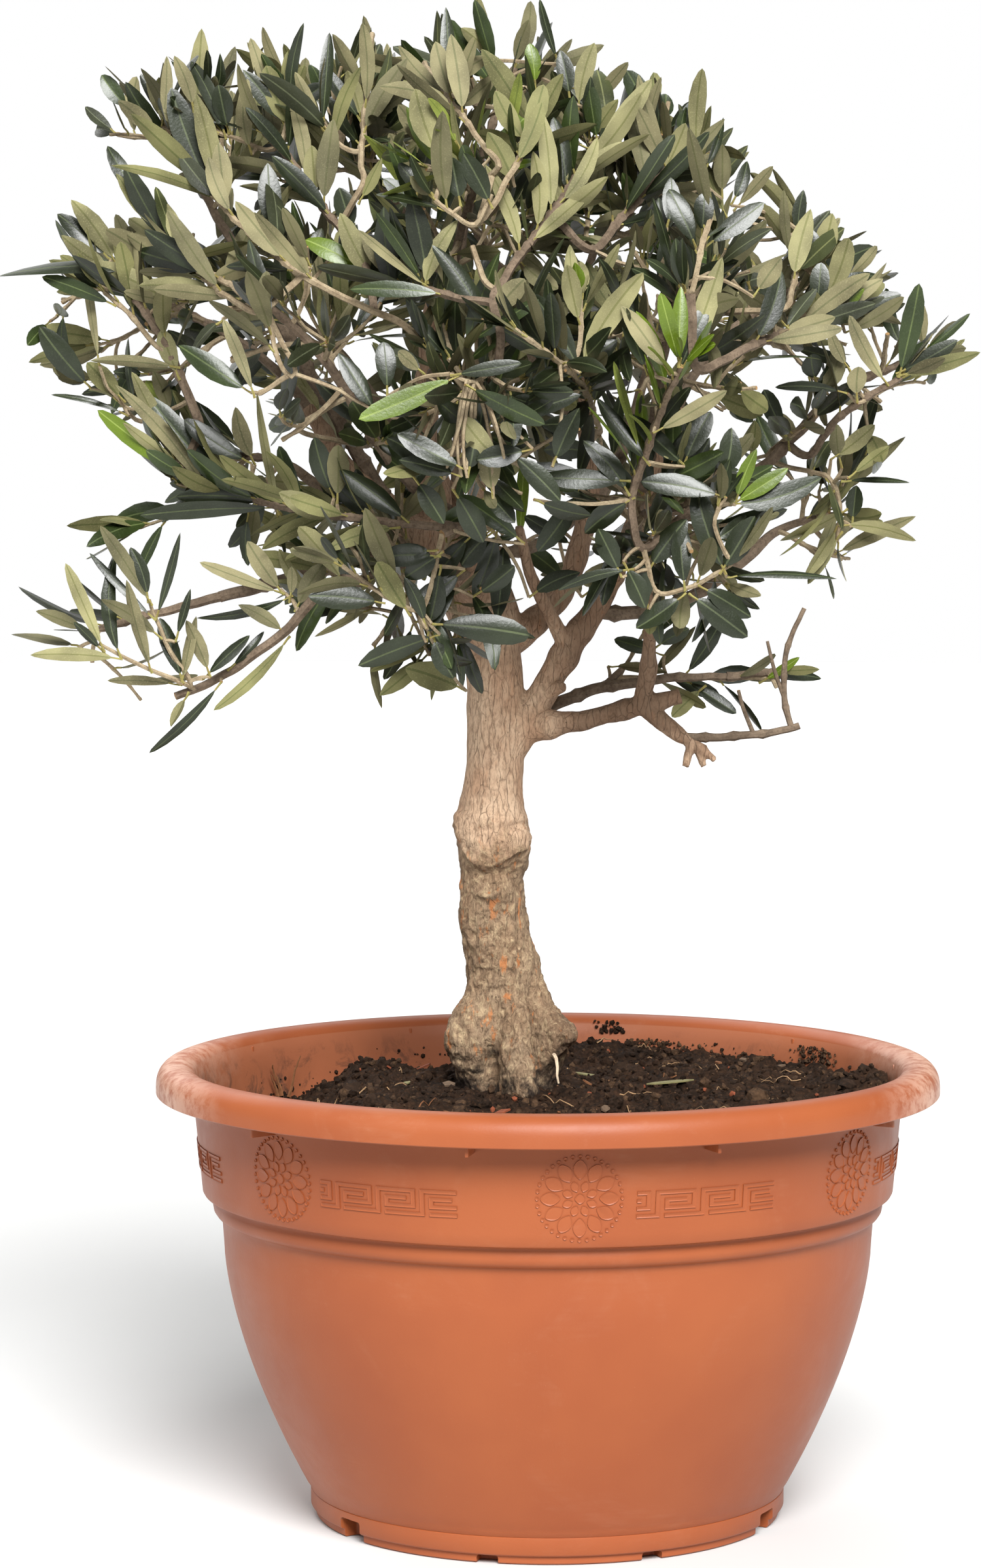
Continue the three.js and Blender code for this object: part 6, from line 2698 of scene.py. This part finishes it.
    def is_low(self, place: np.ndarray) -> bool:
        """Whether a place is in the darker lower part of the crown."""
        return place[2] < self.LOW_BELOW

    def tint(self, rng: random.Random, place: np.ndarray) -> str:
        """Deals out a tint for a spray.

        Args:
            rng: The run of random numbers.
            place: Where the spray is.

        Returns:
            The name of its finish.
        """
        draw = rng.random()
        for name, share in self.LOW_SHARES if self.is_low(place) else self.SHARES:
            draw -= share
            if draw < 0:
                return name
        return self.SHARES[0][0]

    def dress_twig(self, rng: random.Random, course: Course, kind: Twig, tint: str, pile: Pile,
                   cut: bool = False, free: bool = False) -> None:
        """Adds a twig with opposite pairs of leaves, each pair a quarter turn round from the last.

        Args:
            rng: The run of random numbers.
            course: The twig's line.
            kind: Its radii and its bare share.
            tint: The finish of its leaves.
            pile: The pile that its wood goes to.
            cut: Whether it ends in a cut instead of a pair of small leaves.
            free: Whether its leaves may pass the crown's outline.
        """
        s = self.sizes
        nodes = round(course.length * (1 - kind.bare_share) / s.spacing)
        nodes = max(1, nodes) if kind.bare_share < 1 else 0
        first = rng.random() * math.pi
        swell = []
        for i in range(1, nodes + 1):
            share = kind.bare_share + (1 - kind.bare_share) * i / nodes
            share = min(share, 1 - 1.2 / course.length)
            swell.append(share)
            axis, node = course.heading(share), course.at(share)
            last = i == nodes
            ahead = i / nodes
            splay = mix(s.splay, s.tip_splay, ahead**2) if not cut else s.splay
            size = 1.0 if ahead < 0.75 or cut else mix(1.0, 0.72, (ahead - 0.75) * 4)
            for half in (0.0, math.pi):
                if rng.random() < s.missing:
                    continue
                for _ in range(self.TRIES):
                    turn = first + i * math.pi / 2 + half + rng.gauss(0, 0.22)
                    open_by = splay + rng.gauss(0, 0.16)
                    side = sideways(axis, turn)
                    direction = unit(axis * math.cos(open_by) + side * math.sin(open_by) + UP * s.lift)
                    own = tint if rng.random() < 0.8 else self.tint(rng, node)
                    up = turned(axis, direction, rng.gauss(0, s.roll))
                    turned_over = s.turned_over * (0.5 if self.is_low(node) else 1.0)
                    up = -up if rng.random() < turned_over else up
                    if self.add_leaf(rng, node, direction, up, size, own, free):
                        break
            if last and not cut:
                for half in (0.3, math.pi + 0.3):
                    side = sideways(axis, first + half)
                    direction = unit(axis * math.cos(0.3) + side * math.sin(0.3))
                    self.add_leaf(rng, node, direction, -side, 0.5, tint, free)
        self._add_wood(course, kind, pile, swell)

    @staticmethod
    def _add_wood(course: Course, kind: Twig, pile: Pile, swell: list[float]) -> None:
        """Adds a twig's wood, swollen at its nodes and slightly crooked.

        Args:
            course: The twig's line.
            kind: Its radii.
            pile: The pile that takes it.
            swell: Where its nodes are, as shares of its length.
        """
        steps = max(4, int(course.length / 3.0))
        shares = np.unique(np.concatenate((np.linspace(0, 1, steps + 1), swell)))
        keep = np.concatenate(([True], np.diff(shares) * course.length > 0.8))
        shares = shares[keep]
        along = shares * course.length
        radii = mix(kind.start_radius, kind.end_radius, shares)
        for share in swell:
            radii = radii * (1 + 0.32 * bump(along - share * course.length, 1.6))
        points = np.array([course.at(t) for t in shares])
        fade = (smooth(along, 0, 10) * smooth(course.length - along, 0, 8))[:, None]
        wander = np.array([noise.noise_vector(Vector(p / 12)) for p in points])
        pile.add_tube(points + 0.9 * wander * fade, radii, kind.sides, 0, 1)

    def grow_mass(self, mass: Mass, seed: int) -> None:
        """Grows one stem from the tip of its bough, with shoots, side twigs and leaves.

        Args:
            mass: The part of the crown.
            seed: The seed of its random numbers.
        """
        rng = random.Random(seed)
        stem = self.stems[mass.name]
        self.dress_twig(rng, stem, STEM, self.tint(rng, mass.middle), self.old)
        for k in range(mass.shoots):
            self._grow_shoot(mass, stem, unit(mass.middle - stem.at(0)), k, seed)

    def _grow_shoot(self, mass: Mass, stem: Course, axis: np.ndarray, k: int, seed: int) -> None:
        """Grows one shoot of a stem and the twigs that leave its sides.

        Args:
            mass: The part of the crown.
            stem: Its stem.
            axis: The direction from the stem's foot to the middle of the mass.
            k: The shoot's number, from 0.
            seed: The seed of the mass.
        """
        rng = random.Random(seed * 100 + k + 1)
        polar = math.acos(1 - 2 * self.SHOOT_SPREAD * (k + 0.5) / max(5, mass.shoots))
        side = sideways(axis, k * GOLDEN_TURN + seed)
        direction = axis * math.cos(polar) + side * math.sin(polar)
        tip = self.furthest(mass, direction, 24.0)
        reach = tip - stem.at(0)
        along = float(np.dot(reach, axis))
        aside = float(np.linalg.norm(reach - axis * along))
        share = np.clip((along - 0.4 * aside) / stem.length, 0.08, 0.92)
        foot = stem.at(float(share))
        while np.linalg.norm(tip - foot) >= self.SHORTEST_SHOOT and self.in_the_sky(tip[None]):
            tip = mix(foot, tip, 0.9)
        if np.linalg.norm(tip - foot) < self.SHORTEST_SHOOT:
            return
        bow = sideways(unit(tip - foot), rng.random() * 6.3) * 0.07 * np.linalg.norm(tip - foot)
        line = Course.bowed(foot, tip, bow)
        tint = self.tint(rng, tip)
        self.dress_twig(rng, line, SHOOT, tint, self.young)
        turn = rng.random() * 6.3
        spots = (0.18, 0.38, 0.58, 0.78) if line.length > 45 else (0.35, 0.7)
        for i, spot in enumerate(spots):
            heading = line.heading(spot)
            out = sideways(heading, turn + i * GOLDEN_TURN)
            angle = rng.uniform(0.65, 0.95)
            aim = unit(heading * math.cos(angle) + out * math.sin(angle) + UP * 0.25)
            length = rng.uniform(28, 56)
            start = line.at(spot)
            end = start + aim * length
            while length > self.SHORTEST_SIDE and (self.depth(end) < 24 or self.in_the_sky(end[None])):
                length -= 4
                end = start + aim * length
            if length <= self.SHORTEST_SIDE:
                continue
            curl = sideways(aim, rng.random() * 6.3) * 0.08 * length
            twig = Course.bowed(start, end, curl)
            own = tint if rng.random() < 0.7 else self.tint(rng, end)
            self.dress_twig(rng, twig, SIDE, own, self.young)

    def _seen_depth(self, px: float, py: float) -> float:
        """Finds where a line of sight first lies a little way inside the crown.

        Args:
            px: The pixel's place across the photograph.
            py: Its place down it.

        Returns:
            The place along Y, or where it comes nearest if it passes the crown by.
        """
        reach = np.arange(-230.0, 170.0, 4.0)
        inside = np.array([self.depth(self.view.at(px, py, y)) for y in reach])
        deep = np.flatnonzero(inside > self.INSET)
        return float(reach[deep[0]] if len(deep) else reach[inside.argmax()])

    def grow_sprig(self, sprig: Sprig, seed: int) -> None:
        """Grows one of the twigs that are seen on their own, from the nearest wood that can carry it.

        Args:
            sprig: The twig.
            seed: The seed of its random numbers.
        """
        rng = random.Random(self.SPRIG_SEED + seed)
        depths = [sprig.depth or self._seen_depth(*pixel) for pixel in sprig.pixels]
        depths = np.convolve(np.pad(depths, 1, mode="edge"), (0.25, 0.5, 0.25), "valid")
        points = np.array([self.view.at(*pixel, y) for pixel, y in zip(sprig.pixels, depths)])
        foot = self.carriers[np.linalg.norm(self.carriers - points[0], axis=1).argmin()]
        lead = float(np.linalg.norm(points[0] - foot))
        rough = Course(np.vstack((foot, points)))
        line = rough.resampled(max(6, int(rough.length / 5))).points
        for _ in range(3):
            line[1:-1] = (line[:-2] + 2 * line[1:-1] + line[2:]) / 4
        bare = (lead + sprig.bare_share * (rough.length - lead)) / rough.length
        kind = Twig(*sprig.radii, bare if sprig.bare_share < 1 else 1.0)
        pile = self.old if sprig.radii[0] > 2 else self.young
        self.dress_twig(rng, Course(line), kind, self.tint(rng, line[-1]), pile, cut=sprig.cut, free=True)
        self.carriers = np.vstack((self.carriers, line))
        shown = Course(points).resampled(max(2, int(rough.length / 4))).points
        self.shown = np.vstack((self.shown, shown))

    def add_seen_leaf(self, rng: random.Random, foot: tuple[int, int], tip: tuple[int, int], width: float,
                      look: Look) -> np.ndarray:
        """Adds a leaf that is seen on its own, on a short stalk from the nearest wood.

        Args:
            rng: The run of random numbers.
            foot: The pixel of its foot.
            tip: The pixel of its tip.
            width: Its width.
            look: How it shows itself.

        Returns:
            Points along it.
        """
        aside = self.shown - self.view.at(*foot, 0.0)
        away = np.hypot(aside[:, 0], aside[:, 2])
        y = self.shown[away.argmin(), 1] - 2.0 if away.min() < 12 else self._seen_depth(*foot)
        base = self.view.at(*foot, y)
        reach = self.view.at(*tip, y) - base
        reach[1] += rng.uniform(-0.16, 0.16) * np.linalg.norm(reach)
        tint, under = look.value
        if look is Look.UNDER:
            tint = rng.choice(self.UNDER_TINTS)
        up = unit(np.array((rng.gauss(0, 0.3), 1.0 if under else -1.0, rng.gauss(0, 0.3) + 0.2)))
        node = base - unit(reach) * self.sizes.stalk
        wood = self.carriers[np.linalg.norm(self.carriers - node, axis=1).argmin()]
        if np.linalg.norm(wood - node) > 4.5:
            curl = sideways(unit(node - wood), rng.random() * 6.3) * 0.08 * np.linalg.norm(node - wood)
            course = Course.bowed(wood, node, curl, 6)
            self._add_wood(course, Twig(1.1, 0.8, 1.0, 5), self.young, [])
        self._lay_leaf(rng, node, base, reach, up, self.SEEN_WIDTH * width, tint)
        return base + np.outer(np.linspace(0.1, 0.9, 8), reach)

    def build(self) -> list[bpy.types.Object]:
        """Builds the crown.

        Returns:
            Its pieces, dressed.
        """
        thin = [b.name for b in BOUGHS if b.name in THIN_LIMBS]
        mass_boughs = [m.bough for m in MASSES if m.at < 1]
        for name in thin + mass_boughs:
            limb = self.wood.limbs[name]
            kind = Twig(*limb.radii, 0.0, 8)
            count = int(limb.course.length / self.SWELL_EVERY)
            swell = [(i + 0.7) / (count + 1) for i in range(count)]
            self._add_wood(limb.course, kind, self.old, swell)
        for snag in THIN_SNAGS:
            line, radii = self.wood.snag_line(snag)
            self.old.add_tube(line, radii, 8, 0, 1)
        rng = random.Random(17)
        for i, sprig in enumerate(SPRIGS):
            self.grow_sprig(sprig, i)
        seen = [self.add_seen_leaf(rng, row[:2], row[2:4], row[4], row[5]) for row in SEEN_LEAVES]
        self.shown = np.vstack((self.shown, *seen))
        for i, mass in enumerate(MASSES):
            self.grow_mass(mass, i + 1)
        LOG.info("%d leaves", self.count)
        cut = PlainFinish(srgb(150, 118, 78), 0.85).build("cut_end")
        old_finish = WoodFinish(srgb(124, 107, 89), srgb(96, 81, 66)).build("old_twig")
        old = self.old.piece("old_twigs", (old_finish, cut))
        young_finish = WoodFinish(srgb(164, 148, 120), srgb(134, 117, 92), 1.2, 0.15).build("young_twig")
        young = self.young.piece("young_twigs", (young_finish, cut))
        stalk = WoodFinish(srgb(150, 144, 84), srgb(134, 120, 68), 1.0, 0.08).build("leaf_stalk")
        stalks = self.stalks.piece("leaf_stalks", (stalk,))
        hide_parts(*thin, *mass_boughs)
        leaves = [self.leaves[f.name].piece(f"leaves_{f.name}", f.build(), 60) for f in self.FINISHES]
        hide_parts(*(m.name for m in MASSES))
        twigs = [old, young, stalks]
        for piece in twigs + leaves:
            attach(piece, BODY)
        return twigs + leaves


class Studio:
    """The pale floor, the soft lamps, the even surroundings and the camera."""

    FLOOR_RADIUS = 9000.0
    FLOOR_DROP = 0.4
    AMBIENT = 0.2
    # Lamps: name, place, spread in degrees and power
    LAMPS = (
        ("key", (350, -1790, 1560), 30, 6.3),
        ("fill", (-1500, -900, 1200), 60, 0.6),
        ("back", (-600, 1500, 1500), 60, 1.4),
    )
    VIEW_END = 50.0

    def __init__(self, view: PhotoView) -> None:
        """Keeps the photograph's view."""
        self.view = view

    def build(self) -> None:
        """Builds the studio."""
        self._floor()
        self._surroundings()
        for lamp in self.LAMPS:
            self._lamp(*lamp)
        self._camera()

    def _floor(self) -> None:
        """A wide pale disc."""
        added("circle", vertices=96, radius=self.FLOOR_RADIUS * MM, fill_type="NGON")
        floor = named("studio_floor")
        floor.location.z = -self.FLOOR_DROP * MM
        bpy.ops.object.transform_apply(location=True, rotation=True, scale=True)
        floor.data.materials.append(PlainFinish(srgb(208, 208, 207), 0.95, 400, 0.003).build("studio_floor"))

    def _surroundings(self) -> None:
        """White where the camera looks past the floor, and a weaker even light on everything else."""
        world = bpy.data.worlds.new("studio")
        world.use_nodes = True
        tree = world.node_tree
        ground = next(n for n in tree.nodes if n.type == "BACKGROUND")
        ground.inputs["Color"].default_value = (1, 1, 1, 1)
        strength = tree.nodes.new("ShaderNodeMapRange")
        strength.inputs["To Min"].default_value = self.AMBIENT
        ray = tree.nodes.new("ShaderNodeLightPath")
        tree.links.new(ray.outputs["Is Camera Ray"], strength.inputs["Value"])
        tree.links.new(strength.outputs["Result"], ground.inputs["Strength"])
        bpy.context.scene.world = world

    @staticmethod
    def _lamp(name: str, place: Place, spread: float, power: float) -> None:
        """Adds a soft, distant lamp that shines towards the origin.

        Args:
            name: Its name.
            place: The side that it shines from.
            spread: How wide it looks, in degrees.
            power: Its strength.
        """
        data = bpy.data.lights.new(name, "SUN")
        data.angle = math.radians(spread)
        data.energy = power
        lamp = bpy.data.objects.new(name, data)
        bpy.context.scene.collection.objects.link(lamp)
        lamp.location = Vector(place) * MM
        lamp.rotation_euler = (-Vector(place)).to_track_quat("-Z", "Y").to_euler()

    def _camera(self) -> None:
        """The camera where the photograph was taken from."""
        data = bpy.data.cameras.new("photo_camera")
        data.lens = self.view.lens
        data.sensor_width = self.view.sensor
        data.clip_end = self.VIEW_END
        camera = bpy.data.objects.new("photo_camera", data)
        bpy.context.scene.collection.objects.link(camera)
        camera.location = Vector(self.view.place) * MM
        camera.rotation_euler.x = math.radians(self.view.pitch)
        scene = bpy.context.scene
        scene.camera = camera
        scene.view_settings.view_transform = "Standard"
        scene.view_settings.look = "None"


def main() -> None:
    """Builds the bowl, the soil, the wood, the crown and the studio, in that order."""
    logging.basicConfig(level=logging.INFO, format="%(message)s", stream=sys.stdout)
    noise.seed_set(NOISE_SEED)
    bowl = Bowl(BowlSizes())
    wood = Wood(TrunkSizes())
    view = PhotoView()
    for part in (bowl, Soil(SoilSizes(), bowl), wood, Crown(wood, LeafSizes(), view)):
        for piece in part.build():
            piece.data.update()
            LOG.info("%s: %d faces", piece.name, len(piece.data.polygons))
    Studio(view).build()


if __name__ == "__main__":
    main()
